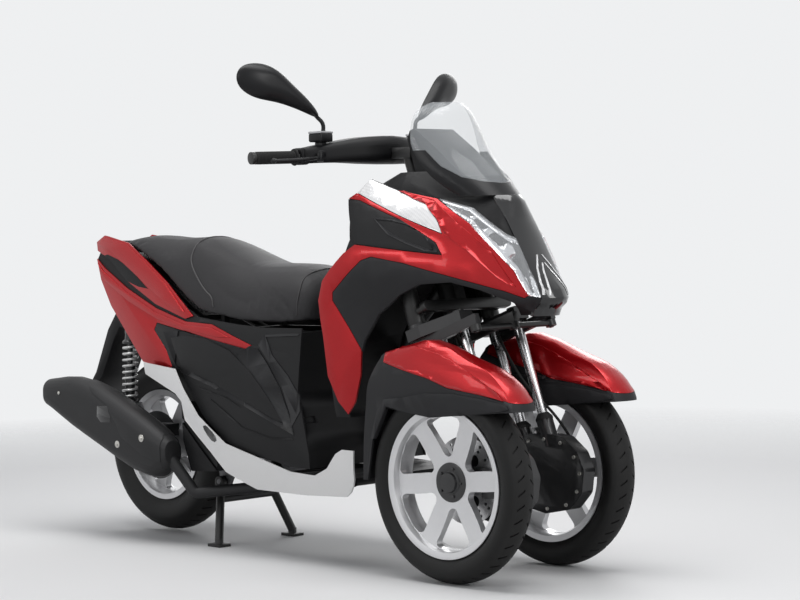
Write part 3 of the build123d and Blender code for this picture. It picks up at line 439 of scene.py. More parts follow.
def ring_bolts(name, centre, ring, count, size, along, reach, first=0.0):
    """Bolt heads in a ring round an axle, from one place along it, a reach further."""
    bolts = []
    for index in range(count):
        turn = 2 * pi * index / count + first
        at = centre + Vector((ring * cos(turn), along, ring * sin(turn)))
        bolts.append(bar(name, at, at + ACROSS * reach, size, 0.0008, 6))
    return bolts


FEWEST = 12                # a Boolean that leaves fewer faces than this has failed


def combine(piece, tool, operation):
    """A Boolean; where a swollen cover crosses itself the slower way, which resolves that, is taken."""
    before = piece.data.copy()
    use(piece, "BOOLEAN", operation=operation, object=tool, solver="EXACT")
    if len(piece.data.polygons) < FEWEST:
        piece.data = before
        use(piece, "BOOLEAN", operation=operation, object=tool, solver="EXACT", use_self=True)
    bpy.data.objects.remove(tool)
    return piece


def tube(name, points, radius, round_steps=2, between=8):
    """A round tube along points, bent smoothly between them."""
    curve = bpy.data.curves.new(name, "CURVE")
    curve.dimensions, curve.use_fill_caps = "3D", True
    curve.bevel_depth, curve.bevel_resolution, curve.resolution_u = radius, round_steps, between
    spline = curve.splines.new("BEZIER")
    spline.bezier_points.add(len(points) - 1)
    for knot, point in zip(spline.bezier_points, points):
        knot.co = spot(point)
        knot.handle_left_type = knot.handle_right_type = "AUTO"
    piece = bpy.data.objects.new(name, curve)
    bpy.context.collection.objects.link(piece)
    only(piece)
    bpy.ops.object.convert(target="MESH")
    return tidy(bpy.context.object, 40)


def joined(name, pieces):
    """Several pieces as one."""
    bpy.ops.object.select_all(action="DESELECT")
    for piece in pieces:
        piece.select_set(True)
    bpy.context.view_layer.objects.active = pieces[0]
    if len(pieces) > 1:
        bpy.ops.object.join()
    return named(pieces[0], name)


def mirror_image(piece, name):
    """A copy with its own mesh, flipped across the centre plane."""
    twin = piece.copy()
    twin.data = piece.data.copy()
    named(twin, name)
    bpy.context.collection.objects.link(twin)
    with editing(twin):
        bpy.ops.transform.resize(value=(1, -1, 1), center_override=(0, 0, 0))
        bpy.ops.mesh.normals_make_consistent(inside=False)
    return twin


def mirrored(piece):
    """The piece and its mirror image, as one."""
    return joined(piece.name, [piece, mirror_image(piece, piece.name + "_twin")])

# %% Fit a piece to its body
SLOTS = {
    "red_paint": [red_lacquer], "white_paint": [pearl_white], "grey_plastic": [grey_plastic],
    "black_plastic": [black_plastic, satin_black, piano_black], "rubber": [rubber_black],
    "black_paint": [powder_black, fork_black, muffler_black], "cast_wheel": [wheel_silver],
    "fork_metal": [fork_silver], "engine_metal": [engine_casting, case_silver],
    "steel": [spring_white, bolt_zinc, chrome, mirror_glass], "clear": [clear_screen, clear_lens],
    "white_lens": [white_lens], "red_lens": [red_lens]}
SLOT_OF = {finish: slot for slot, finishes in SLOTS.items() for finish in finishes}


def wear(piece, finish):
    """Puts one finish on all of a piece."""
    piece.data.materials.clear()
    piece.data.materials.append(finish.material)


def fit(piece, finish, *nodes, body=None, slot=None):
    """Gives a piece its finish, its body and the solids that it stands for."""
    wear(piece, finish)
    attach(piece, body or (BODY_OF[nodes[0]] if nodes else "chassis"))
    if nodes:
        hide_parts(*nodes)
    slot = slot or SLOT_OF.get(finish)
    return piece


KEPT = {"seat_base": black_plastic, "storage_box": black_plastic, "tie_rod": powder_black,
        "disc_front_left": ground_steel, "disc_front_right": ground_steel}
for node, finish in KEPT.items():
    wear(NODES[node], finish)
print("solids that stay as they are:", len(KEPT), "of", len(NODES))

# %% [markdown]
# ## Tyres
# A road tyre has a round crown with slanted slots that carry water from the middle to the shoulder. It
# could be textured, but the slots show against the light at the tyre's edge, so they are modelled. The
# section is turned round the axle, then the rows of the tread are twisted against each other, which
# slants every face between them. After that each slot is only a few faces, inset and pushed in.

# %% Rubber with mould lines round the axle
def tyre_rubber(name, centre, shoulder):
    finish = Finish(name, Specular_IOR_Level=0.25)
    x, y, z = finish.axes()
    radius = ((x - centre.x) * (x - centre.x) + (z - centre.z) * (z - centre.z)).math("SQRT")
    rings = (radius * (2 * pi / 0.0024)).math("SINE") * 0.5 + 0.5
    tread = radius.above(shoulder, 0.006)
    dust = finish.noise(0.05, detail=4)
    finish.give(Base_Color=finish.mix(tread * 0.5 + dust * 0.5, 0.005, (0.015, 0.0147, 0.0145)),
                Roughness=dust * 0.2 + tread * 0.12 + 0.42)
    return finish.relief(rings * (1 - tread) * 0.5 + finish.noise(0.0016), 0.00022)


front_rubber = tyre_rubber("front_rubber", FRONT_CENTRE, 0.236)
rear_rubber = tyre_rubber("rear_rubber", REAR_CENTRE, 0.232)

# %% Turn the section, twist the tread and sink the slots
STEPS, LEAN = 132, 2.3               # faces round a tyre, and how many of them the shoulder is twisted by
SLOT_EDGE, SLOT_DEPTH = 0.0026, 0.0045


def road_tyre(name, centre, outer, width, bead, bead_half):
    half = width / 2
    shoulder, shoulder_drop = 0.78 * half, 0.16 * width
    crown = (shoulder ** 2 + shoulder_drop ** 2) / (2 * shoulder_drop)
    rows = [share * shoulder for share in (0, 0.2, 0.42, 0.64, 0.84, 1.0)]
    tread = [(row, outer - crown + (crown ** 2 - row ** 2) ** 0.5) for row in rows]
    rise = outer - shoulder_drop - bead
    wall = [(half * out, bead + share * rise) for out, share in (
        (0.955, 0.86), (0.995, 0.74), (0.998, 0.62), (0.955, 0.42), (0.90, 0.36), (0.885, 0.33))]
    right = tread + wall + [(bead_half + 0.002, bead + 0.012), (bead_half, bead + 0.009), (bead_half, bead)]
    outline = [(-across, radius) for across, radius in reversed(right)] + right[1:]
    tyre = turned(name, outline, centre, STEPS)
    pitch = 2 * pi / STEPS

    def out_of(co):
        return hypot(co.x - centre.x, co.z - centre.z)

    def is_slot(co, normal):
        across = co.y - centre.y
        if not 0.2 * shoulder < abs(across) < 0.84 * shoulder or out_of(co) < outer - shoulder_drop:
            return False
        turn = atan2(co.z - centre.z, co.x - centre.x) + LEAN * pitch * abs(across) / shoulder
        return round(turn / pitch + (2.0 if across > 0 else 0.5)) % 3 == 0

    with editing(tyre):
        for across, radius in tread[1:]:
            pick(tyre, "VERT", lambda co, normal: abs(abs(co.y - centre.y) - across) < 0.0004
                 and out_of(co) > radius - 0.001)
            bpy.ops.transform.rotate(value=-LEAN * pitch * across / shoulder, orient_axis="Y",
                                     orient_type="GLOBAL", center_override=centre)
        pick(tyre, "FACE", is_slot)
        slots = sum(face.select for face in bmesh.from_edit_mesh(tyre.data).faces)
        bpy.ops.mesh.inset(thickness=SLOT_EDGE, use_even_offset=True)
        bpy.ops.mesh.extrude_region_shrink_fatten(TRANSFORM_OT_shrink_fatten={"value": -SLOT_DEPTH})
    print(name, "slot faces:", slots, "faces:", len(tyre.data.polygons))
    return smoothed(tyre, 38)


left_tyre = road_tyre("road_tyre_left", FRONT_CENTRE, 0.250, 0.090, 0.178, 0.031)
rear_tyre = road_tyre("road_tyre_rear", REAR_CENTRE, 0.251, 0.110, 0.152, 0.038)
fit(mirror_image(left_tyre, "road_tyre_right"), front_rubber, "tyre_front_right", slot="tyre")
fit(left_tyre, front_rubber, "tyre_front_left", slot="tyre")
fit(rear_tyre, rear_rubber, "tyre_rear", slot="tyre")

# %% [markdown]
# ## Cast wheels
# The wheels are cast in one piece: a barrel with a lip on each side, and six spokes that widen where they
# run into the barrel and into each other at the hub. A caster cuts windows out of a dish, and that is
# the easy way here too: a dish is turned, six rounded windows are cut through it by a Boolean, and a
# bevel softens what the cut left sharp.

# %% Six windows between six spokes
SPOKES, FIRST_TURN = 6, 5.0
WINDOW = [(0.06, 10.0), (0.30, 14.5), (0.62, 18.5), (0.90, 21.0), (0.985, 18.5), (1.0, 8.0)]
WINDOW = [(0.0, 0.0)] + WINDOW + [(share, -turn) for share, turn in reversed(WINDOW)]


def window_cutter(name, centre, reach, hub, middle):
    """Cuts one window, whose points are given as a share of the way from hub to barrel, and a turn."""
    points = []
    for share, turn in WINDOW:
        radius, angle = hub + share * (reach - hub), middle + radians(turn)
        points.append(Vector((centre.x + radius * cos(angle), centre.y - 0.06, centre.z + radius * sin(angle))))
    cutter = draw(name, points)
    with editing(cutter):
        bpy.ops.mesh.edge_face_add()
        bpy.ops.mesh.bevel(offset=0.006, segments=4, affect="VERTICES", clamp_overlap=True)
        bpy.ops.mesh.select_all(action="SELECT")
        extrude((0, 0.12, 0))
    return tidy(cutter)


def cast_wheel(name, centre, bead, bead_half, face_at, inner):
    """Outlines are (along the axle, radius); face_at is where the spokes' faces lie along the axle."""
    lip, edge, floor = bead + 0.0087, bead_half + 0.005, bead - 0.0065
    barrel = turned(name, [
        (-edge, lip), (-edge + 0.004, lip), (-bead_half, bead - 0.0004), (bead_half, bead - 0.0004),
        (edge - 0.004, lip), (edge, lip), (edge + 0.0004, lip - 0.004), (edge - 0.003, floor - 0.001),
        (edge - 0.011, floor - 0.004), (0.2 * edge, floor - 0.006), (-0.8 * edge, floor - 0.004),
        (-edge, floor)], centre, 120)
    reach = floor - 0.002
    dish = turned(name + "_dish", [(face_at + along, radius) for along, radius in (
        (0.012, reach), (0.005, 0.80 * reach), (0.001, 0.5 * reach), (-0.001, 0.36 * reach), (-0.003, inner),
        (-0.024, inner), (-0.022, 0.42 * reach), (-0.015, 0.7 * reach), (-0.010, reach))], centre, 120)
    cutters = [window_cutter(name + "_cutter", centre, reach - 0.003, 0.37 * reach,
                             radians(FIRST_TURN + (index + 0.5) * 360 / SPOKES)) for index in range(SPOKES)]
    combine(dish, joined(name + "_cutter", cutters), "DIFFERENCE")
    dish = half_round(tidy(dish, 40), 0.0028, 3, limit=55)
    wheel = joined(name, [barrel, tidy(dish, 40)])
    print(name, "faces:", len(wheel.data.polygons))
    return tidy(wheel, 40)


HUB_BOLTS, HUB_BOLT_RADIUS, HUB_BOLT_LENGTH = 5, 0.004, 0.006


def hub_piece(name, centre, outline, ring, along):
    """A turned hub with a ring of bolt heads."""
    parts = [turned(name, outline, centre, 64)]
    for index in range(HUB_BOLTS):
        turn = 2 * pi * index / HUB_BOLTS
        bpy.ops.mesh.primitive_cylinder_add(
            vertices=6, radius=HUB_BOLT_RADIUS, depth=HUB_BOLT_LENGTH, rotation=(pi / 2, 0, 0),
            location=centre + Vector((ring * cos(turn), along, ring * sin(turn))))
        parts.append(use(frozen(bpy.context.object), "BEVEL", width=0.0008, segments=2))
    return tidy(joined(name, parts))


left_wheel = cast_wheel("cast_wheel_left", FRONT_CENTRE, 0.178, 0.031, 0.006, 0.036)
rear_wheel = cast_wheel("cast_wheel_rear", REAR_CENTRE, 0.152, 0.038, 0.006, 0.036)
hub_left = hub_piece("hub_left", FRONT_CENTRE, [
    (-0.050, 0.0125), (-0.050, 0.033), (-0.020, 0.036), (-0.004, 0.046), (0.002, 0.050), (0.006, 0.049),
    (0.008, 0.044), (0.007, 0.030), (0.010, 0.026), (0.0165, 0.024), (0.017, 0.021), (0.0165, 0.0),
    (0.001, 0.0), (0.001, 0.0125)], 0.036, 0.008)
hub_rear = hub_piece("hub_rear", REAR_CENTRE, [
    (-0.060, 0.0125), (-0.060, 0.099), (-0.056, 0.099), (-0.056, 0.062), (-0.052, 0.058), (-0.050, 0.034),
    (0.000, 0.050), (0.010, 0.048), (0.012, 0.036), (0.071, 0.033), (0.071, 0.0125)], 0.040, -0.057)
fit(mirror_image(left_wheel, "cast_wheel_right"), wheel_silver, "rim_front_right")
fit(left_wheel, wheel_silver, "rim_front_left")
fit(rear_wheel, wheel_silver, "rim_rear")
fit(mirror_image(hub_left, "hub_right"), fork_black, body="wheel_front_right")
fit(hub_left, fork_black, body="wheel_front_left")
fit(hub_rear, fork_black, body="wheel_rear")

# %% [markdown]
# ## Panels from the solids
# The covers already have their exact form in the frame, and their gaps are part of how they move. So the
# looks keep that form: each panel's mesh is copied, its loose triangles are merged, flat runs become
# single faces, and every edge that a mould would round gets a small bevel, which is what catches light.

# %% Soften a copy of a solid
FLAT, SHARP = radians(0.5), radians(32)      # runs flatter than this merge, and edges sharper get a bevel


def softened(node, bevel=0, angle=34):
    """A merged copy of a solid with rounded edges."""
    piece = bpy.data.objects.new("soft_" + node, NODES[node].data.copy())
    bpy.context.collection.objects.link(piece)
    with editing(piece):
        bpy.ops.mesh.remove_doubles(threshold=MERGE)
        bpy.ops.mesh.dissolve_limited(angle_limit=FLAT)
        bpy.ops.mesh.normals_make_consistent(inside=False)
    if bevel:
        use(piece, "BEVEL", width=bevel, segments=2, limit_method="ANGLE", angle_limit=SHARP,
            miter_outer="MITER_ARC")
    return smoothed(piece, angle)


PANELS = {                 # finish: {width of the bevel in millimetres: nodes}
    red_lacquer: {1.6: "cowl_red tail_panels", 1: "fender_left fender_right"},
    grey_plastic: {1.6: "cowl_grey", 1: "fender_skirt_left fender_skirt_right"},
    black_plastic: {0: "body_liner", 1.2: "cowl_side_vent cowl_liner radiator_cover", 1.4: "side_covers",
                    2: "dash floorboard bar_cover", 3: "rear_fender"},
    piano_black: {1.4: "cowl_nose"},
    white_lens: {1.2: "signal_lenses"},
    muffler_black: {2: "muffler"},
    powder_black: {0: "frame", 1: "leaning_arms steering_heads handlebar centre_stand"},
    case_silver: {3: "drive_case"},
    engine_casting: {4: "engine"}}
for finish, widths in PANELS.items():
    for width, nodes in widths.items():
        for node in nodes.split():
            fit(softened(node, width / 1000), finish, node)
fit(softened("windscreen", 0.0008, 60), clear_screen, "windscreen")

# %% [markdown]
# ## Raised details
# Moulded covers are not plain sheets: panels lie on panels, and vents have rims. Such a detail has to
# follow the curved cover exactly, so it is cut out of the cover itself. A copy of the cover is swollen by
# a millimetre or two, and only the part inside a drawn outline is kept.

# %% Cut details out of swollen copies
def prism(name, outline, front=False, reach=0.35):
    """An outline drawn in side view, or in front view, pushed right through the vehicle."""
    if front:
        return tidy(pushed(draw(name, [(-1000 * reach, y, z) for y, z in outline]), (reach * 2, 0, 0)))
    return tidy(pushed(draw(name, [(x, -1000 * reach, z) for x, z in outline]), (0, reach * 2, 0)))


def swollen(node, by, sideways=False):
    """A merged copy of a solid, grown all over, or only outwards from the vehicle's middle."""
    piece = softened(node)
    if sideways:
        widest = max(abs(vertex.co.y) for vertex in piece.data.vertices)
        for vertex in piece.data.vertices:
            vertex.co.y *= 1 + by / widest
        return piece
    with editing(piece):
        bpy.ops.transform.shrink_fatten(value=by, use_even_offset=True)
    return piece


def raised(name, node, finish, outline, proud, bevel, hole=None, front=False, sideways=False, slot=None):
    """The part of a swollen cover inside an outline, proud by some millimetres."""
    piece = combine(named(swollen(node, proud / 1000, sideways), name), prism(name + "_cut", outline, front),
                    "INTERSECT")
    if hole:
        combine(piece, prism(name + "_hole", hole, front), "DIFFERENCE")
    if bevel:
        half_round(piece, bevel / 1000, 2)
    print(name, "faces:", len(piece.data.polygons))
    return fit(tidy(piece, 34), finish, body=BODY_OF[node], slot=slot)


# %% Side covers: a large leaf with a crease, and a lower hollow
LEAF = [(-1149, 595), (-1045, 602), (-905, 586), (-783, 570), (-723, 560), (-673, 515), (-623, 459),
        (-580, 392), (-556, 338), (-646, 366), (-765, 406), (-906, 451), (-1060, 489), (-1110, 540)]
LEAF_INNER = [(-1110, 580), (-1045, 588), (-951, 582), (-840, 551), (-749, 500), (-668, 434), (-600, 368),
              (-646, 379), (-765, 419), (-906, 464), (-1045, 500), (-1085, 545)]
HOLLOW = [(-965, 449), (-843, 425), (-713, 377), (-585, 338), (-556, 326), (-643, 322), (-759, 343),
          (-847, 382), (-926, 428)]
HOLLOW_HOLE = [(x + 6 * (1 if x < -760 else -1), z + (5 if z < 385 else -5)) for x, z in HOLLOW]
RIDGE = [(-723, 570), (-700, 600), (-560, 604), (-566, 598), (-694, 592), (-663, 545), (-594, 492),
         (-545, 442), (-536, 402), (-566, 360), (-576, 392), (-615, 462), (-668, 520)]
# The leaf is the cover's black plastic painted grey: a painted highlight where the upper facet faces the light.
raised("side_leaf", "side_covers", grey_plastic, LEAF, 2.4, 0.9, slot="black_plastic")
raised("side_leaf_inner", "side_covers", black_plastic, LEAF_INNER, 3.8, 1.2)
raised("side_hollow_rim", "side_covers", black_plastic, HOLLOW, 1.6, 0.7, hole=HOLLOW_HOLE)
# The ridge is black plastic painted grey too: a painted highlight along its lit face.
raised("side_ridge", "side_covers", grey_plastic, RIDGE, 1.4, 0.7, slot="black_plastic")

# %% Front cowl: the vent in the dark triangle, the bright crease of the red, light strips of the nose
VENT = [(-262, 906), (-207, 904), (-160, 894), (-110, 872), (-68, 826), (-66, 816), (-98, 819), (-150, 838),
        (-206, 862)]
VENT_HOLE = [(-252, 901), (-207, 897), (-163, 887), (-114, 866), (-76, 823), (-98, 826), (-150, 845),
             (-203, 868)]
CREASE = [(-217, 972), (-118, 948), (-34, 888), (57, 818), (122, 728), (104, 736), (81, 752), (4, 820),
          (-54, 858), (-88, 900), (-128, 932)]
raised("vent_rim", "cowl_side_vent", grey_plastic, VENT, 1.8, 0.7, hole=VENT_HOLE)
raised("cowl_crease", "cowl_red", red_lacquer, CREASE, 2.2, 2.0)
STRIP_HALF = 2.2
STRIPS = {"outer": [(-9, 806), (-29, 772), (-41, 741), (-46, 708)],
          "inner": [(-4, 786), (-17, 760), (-29, 727), (-33, 706)]}
for name, points in STRIPS.items():
    for side_name, side in (("right", 1), ("left", -1)):
        outline = [(side * y - STRIP_HALF, z) for y, z in points]
        outline += [(side * y + STRIP_HALF, z) for y, z in reversed(points)]
        raised("nose_bar_" + name + "_" + side_name, "cowl_nose", white_lens, outline, 1.2, 0.5, front=True)

# %% Sills with a rounded lower corner ahead, and their slots
SILL_CORNER = [(-311, 268), (-314, 244), (-322, 222), (-336, 203), (-356, 190), (-384, 183), (-420, 180),
               (-420, 160), (-290, 160), (-290, 268)]
SLOT = [(-915, 344), (-904, 347), (-891, 342), (-872, 330), (-858, 318), (-855, 308), (-864, 303),
        (-878, 306), (-897, 320), (-911, 334)]
sills = combine(softened("sills"), prism("sill_corner", SILL_CORNER), "DIFFERENCE")
fit(tidy(half_round(sills, 0.0016, 2), 34), pearl_white, "sills")
raised("sill_slot", "sills", piano_black, SLOT, 0.6, 0.3)

# %% The printed foot of the screen
FOOT = [(150, 940), (150, 1072), (116, 1072), (108, 1030), (88, 1002), (52, 990), (0, 986)]
FOOT = [(-150, 940)] + FOOT + [(-y, z) for y, z in reversed(FOOT[1:-1])]
raised("screen_foot", "windscreen", satin_black, FOOT, 0.4, 0, front=True)

# %% [markdown]
# ## Headlamps
# Behind each clear lens lies a bright moulding with bowls in it. The moulding starts as a copy of the
# lens, whose inner faces are pushed back to give it depth. Ellipsoids then hollow the bowls out, so that
# their rims follow the slanted lens, as they do in a real lamp. A bezel closes the gap round the lens.

# %% Silver moulding with bowls behind each lens
lamp_silver = metal("lamp_silver", (0.62, 0.63, 0.65), (0.80, 0.81, 0.83), 0.10, 0.004, 0.00003)
BOWLS = [                  # middle, half sizes ahead, across and up, in millimetres
    ((-34, 92, 915), (24, 20, 12)), ((14, 84, 886), (26, 24, 15)), ((60, 76, 846), (28, 26, 18)),
    ((112, 64, 778), (34, 28, 34)), ((150, 52, 716), (18, 22, 14))]
FACES = 0.45               # a face whose normal goes this far along the lamp's own direction is its face
LAMP_OPENING = [(-98, 940), (-20, 916), (64, 855), (107, 828), (128, 790), (160, 714), (156, 712), (121, 774),
                (66, 830), (-8, 896)]


def lamp_way(side):
    return Vector((0.8, side * 0.45, 0.4))


def lean(piece, outwards, shift):
    """Moves the outer (1) or the inner (-1) faces of both lenses, by what a side's direction gives."""
    with editing(piece):
        for side in (1, -1):
            way = lamp_way(side)
            pick(piece, "FACE", lambda co, normal: co.y * side > 0 and normal.dot(way) * outwards > FACES)
            bpy.ops.transform.translate(value=shift(side))
    return piece


back = named(softened("headlamps"), "lamp_back")
lean(back, -1, lambda side: (-0.030, -side * 0.001, -0.012))
lean(back, 1, lambda side: (-0.008, -side * 0.002, -0.005))
for (x, y, z), sizes in BOWLS:
    for side in (1, -1):
        bpy.ops.mesh.primitive_uv_sphere_add(segments=28, ring_count=16, radius=1,
                                             location=metres(x, side * y, z))
        bpy.context.object.scale = [size / 1000 for size in sizes]
        combine(back, frozen(bpy.context.object), "DIFFERENCE")
print("lamp back faces:", len(back.data.polygons))
fit(tidy(back, 30), lamp_silver)
bezel = lean(softened("headlamps"), 1, lambda side: lamp_way(side) * -0.0026)
combine(bezel, prism("bezel_cut", LAMP_OPENING), "DIFFERENCE")
fit(tidy(named(half_round(bezel, 0.0012), "lamp_bezel")), lamp_silver)
lens_sheet = half_round(lean(softened("headlamps"), -1, lambda side: lamp_way(side) * 0.0034), 0.0004)
fit(tidy(lens_sheet), clear_lens, "headlamps")

# %% [markdown]
# ## Mirrors
# A mirror shell is a drop shape, thickest near the middle. Its outline is drawn in the plane of the glass
# and pushed forward in steps that get smaller, like the rings of a hill on a map. Subdivision then rounds
# it. The glass lies a little inside the rim.

# %% Mirror shells, glass and stems
MIRROR_AT, MIRROR_TURN = metres(-470, 190, 1171), radians(17)
MIRROR_OUT = Vector((-sin(MIRROR_TURN), cos(MIRROR_TURN), 0))
MIRROR_AHEAD = Vector((cos(MIRROR_TURN), sin(MIRROR_TURN), 0))
DROP = [(-2, -6), (-6, 8), (14, 34), (38, 57), (63, 78), (106, 118), (145, 134), (186, 134), (213, 124),
        (226, 98), (214, 67), (174, 46), (137, 40), (100, 34), (40, 14)]
DROP_MIDDLE = (120, 84)
RIM = 0.96                 # the outline's size, as a share of the drop
RINGS = ((1.04, 4), (1.0, 7), (0.90, 8), (0.72, 7), (0.5, 5), (0.3, 2))     # share, and millimetres ahead


def mirror_point(out, height, ahead):
    return MIRROR_AT + (MIRROR_OUT * out + UP * height + MIRROR_AHEAD * ahead) / 1000


def drop_ring(share, ahead):
    out, up = DROP_MIDDLE
    return [mirror_point(out + share * (x - out), up + share * (z - up), ahead) for x, z in DROP]


shell = draw("mirror_shell", drop_ring(RIM, 0))
with editing(shell):
    bpy.ops.mesh.edge_face_add()
    share, middle = RIM, mirror_point(*DROP_MIDDLE, 0)
    for ratio, step in RINGS:
        extrude(MIRROR_AHEAD * step / 1000)
        middle = middle + MIRROR_AHEAD * step / 1000
        bpy.ops.transform.resize(value=(ratio / share,) * 3, center_override=middle)
        share = ratio
tidy(use(shell, "SUBSURF", levels=2, render_levels=2), 60)
glass = half_round(pushed(draw("mirror_glass_face", drop_ring(0.86, -0.6)), MIRROR_AHEAD * 0.003), 0.0005, 2)
stem = tube("mirror_stem", [(-462, 172, 1124), (-462, 172, 1152), (-468, 184, 1168), mirror_point(14, 12, 10),
                            mirror_point(32, 28, 12)], 0.0055, 3)
boot = bar("mirror_boot", (-462, 172, 1122), (-462, 172, 1134), 0.010, 0.002)
fit(mirrored(joined("mirror_shells", [shell, stem, boot])), satin_black, "mirrors")
fit(mirrored(glass), mirror_glass, body="handlebar")

# %% [markdown]
# ## Grips, levers and switches
# Everything a hand touches has ribs or edges. The grips are turned from a profile with a groove every few
# millimetres and a flange at the root. The levers are bent tubes that end in a ball. A switch box clamps
# the bar next to each grip, and a reservoir sits on each lever's bracket.

# %% Ribbed grips with bar ends
GRIP_ROOT, GRIP_TIP = metres(-500, 232, 1066), metres(-524, 355.5, 1063)
BAR_WAY = (GRIP_TIP - GRIP_ROOT).normalized()
RIBS, RIB_PITCH = 26, 0.0041
grip_profile = [(0.004, 0.0115), (0.004, 0.0215), (0.006, 0.0225), (0.0085, 0.0215), (0.0095, 0.0158)]
for index in range(RIBS):
    at = 0.012 + index * RIB_PITCH
    grip_profile += [(at, 0.0155), (at + 0.0008, 0.0166), (at + 0.0026, 0.0166), (at + 0.0034, 0.0155)]
grip_profile += [(0.1215, 0.0165), (0.1245, 0.016), (0.1252, 0.0115)]
fit(mirrored(turned("grip", grip_profile, GRIP_ROOT, 36, BAR_WAY)), rubber_black, "grips")
WEIGHT = [(0.1262, 0.0), (0.1262, 0.0150), (0.1275, 0.0160), (0.1345, 0.0160), (0.1368, 0.0140),
          (0.1368, 0.0065), (0.1355, 0.006), (0.1355, 0.0)]
fit(mirrored(turned("bar_weight", WEIGHT, GRIP_ROOT, 32, BAR_WAY)), fork_black, body="handlebar")

# %% Levers, switch boxes and reservoirs
levers = joined("lever_parts", [
    tube("lever", [(-439, 205, 1064), (-434, 238, 1060), (-446, 290, 1056), (-461, 340, 1054)], 0.0052, 3),
    turned("lever_ball", [(-0.0078, 0), (-0.006, 0.0048), (0, 0.0078), (0.006, 0.0048), (0.0078, 0)],
           (-462, 345, 1054), 20),
    bar("lever_pivot", (-439, 205, 1052), (-439, 205, 1076), 0.0085, 0.0015),
    block("lever_bracket", (-484, 176, 1064), (-436, 204, 1082), 0.004),
    bar("lever_clamp", (-486, 190, 1071), (-490, 212, 1069), 0.0195, 0.003),
    block("pot", (-486, 157, 1104), (-438, 203, 1127), 0.005),
    block("pot_neck", (-474, 170, 1078), (-450, 192, 1106), 0.004)])
pot_lid = block("pot_lid", (-485, 156.5, 1126), (-439, 203.5, 1132), 0.0018)
screws = joined("pot_screws", [bar("pot_screw", (x, y, 1131), (x, y, 1132.6), 0.0028, 0.0004, 12)
                               for x in (-480, -444) for y in (162, 198)])
switch = block("switch_box", (-520, 204, 1046), (-476, 231, 1090), 0.008)
buttons = joined("switch_buttons", [block("switch_button", (-524, 210, 1068), (-516, 224, 1078), 0.0015),
                                    bar("switch_round", (-523, 217, 1056), (-514, 217, 1056), 0.0055, 0.001, 20)])
fit(mirrored(levers), satin_black, "levers", slot="black_paint")
fit(mirrored(pot_lid), case_silver, body="handlebar", slot="steel")
for piece, finish in ((screws, bolt_zinc), (switch, black_plastic), (buttons, grey_plastic)):
    fit(mirrored(piece), finish, body="handlebar")

# %% [markdown]
# ## Springs
# A spring is a wire wound round a damper. The wire's path is a helix, drawn as points, and the damper is
# turned from a profile with a collar at each end.

# %% Rear dampers and coils
SHOCK_TOP, SHOCK_FOOT = metres(-1345, 125, 590), metres(-1355, 125, 372)
SHOCK_WAY, SHOCK_LONG = (SHOCK_TOP - SHOCK_FOOT).normalized(), (SHOCK_TOP - SHOCK_FOOT).length
side_way = SHOCK_WAY.cross(ACROSS).normalized()
COILS, COIL_STEPS, COIL_RADIUS, COIL_LOW, COIL_HIGH = 9, 16, 0.0203, 0.026, 0.032
helix = []
for step in range(COILS * COIL_STEPS + 1):
    turn = 2 * pi * step / COIL_STEPS
    along = COIL_LOW + (SHOCK_LONG - COIL_LOW - COIL_HIGH) * step / (COILS * COIL_STEPS)
    helix.append(SHOCK_FOOT + SHOCK_WAY * along + (side_way * cos(turn) + ACROSS * sin(turn)) * COIL_RADIUS)
fit(mirrored(tube("coil", helix, 0.0036, between=1)), spring_white, "shocks")
damper = turned("damper", [
    (-0.012, 0.0), (-0.012, 0.012), (0.014, 0.0135), (0.018, 0.0235), (0.0235, 0.0235), (0.026, 0.0145),
    (0.120, 0.0145), (0.122, 0.0075)] + [(SHOCK_LONG + along, radius) for along, radius in (
        (-0.036, 0.0075), (-0.034, 0.0225), (-0.028, 0.0235), (-0.022, 0.0165), (0.010, 0.0145), (0.010, 0.0))],
    SHOCK_FOOT, 32, SHOCK_WAY)
eyes = [bar("damper_eye", end - ACROSS * 0.0105, end + ACROSS * 0.0105, 0.015, 0.001)
        for end in (SHOCK_FOOT, SHOCK_TOP)]
fit(mirrored(joined("damper", [damper] + eyes)), fork_black)

# %% [markdown]
# ## Exhaust
# The silencer is a long rounded can. A heat shield lies over its front half, held by bolts with large
# washers, and has a hollow in it, painted near-black as shade. The pipe comes out of a cap at the back.

# %% Heat shield, bolts and tail pipe
SHIELD = [(-1461, 470), (-1400, 470), (-1273, 440), (-1150, 400), (-1082, 300), (-1080, 235), (-1147, 252),
          (-1211, 284), (-1240, 300), (-1262, 336), (-1306, 386), (-1375, 418)]
SHIELD_HOLLOW = [(-1348, 382), (-1304, 384), (-1288, 356), (-1286, 338), (-1332, 336), (-1350, 352)]
raised("heat_shield", "muffler", muffler_black, SHIELD, 2.2, 0.9)
# The hollow is a near-black patch laid on the shield, not a recess: painted shade.
raised("shield_hollow", "muffler", piano_black, SHIELD_HOLLOW, 0.6, 0.3, slot="black_paint")
can_bolts = []
for place in ((-1535, -246, 412), (-1259, -250, 277), (-1150, -250, 300)):
    face = metres(*place)
    can_bolts.append(bar("can_washer", face, face + ACROSS * 0.006, 0.0105))
    can_bolts.append(bar("can_bolt", face - ACROSS * 0.0025, face + ACROSS * 0.003, 0.0055, sides=6))
fit(joined("can_bolts", can_bolts), bolt_zinc)
OUTLET, OUTLET_WAY = metres(-1624, -202, 408), Vector((-1, 0, 0.12)).normalized()
outlet = turned("tail_pipe", [(-0.020, 0.0145), (0.0015, 0.0145), (0.0015, 0.0125), (-0.018, 0.012),
                              (-0.018, 0.0), (-0.020, 0.0)], OUTLET, 36, OUTLET_WAY)
cap = turned("end_cap", [(-0.010, 0.0), (-0.010, 0.032), (-0.004, 0.0335), (0.0012, 0.031), (0.0016, 0.018),
                         (-0.002, 0.0165), (-0.002, 0.0)], OUTLET, 40, OUTLET_WAY)
fit(outlet, chrome)
fit(cap, fork_black)

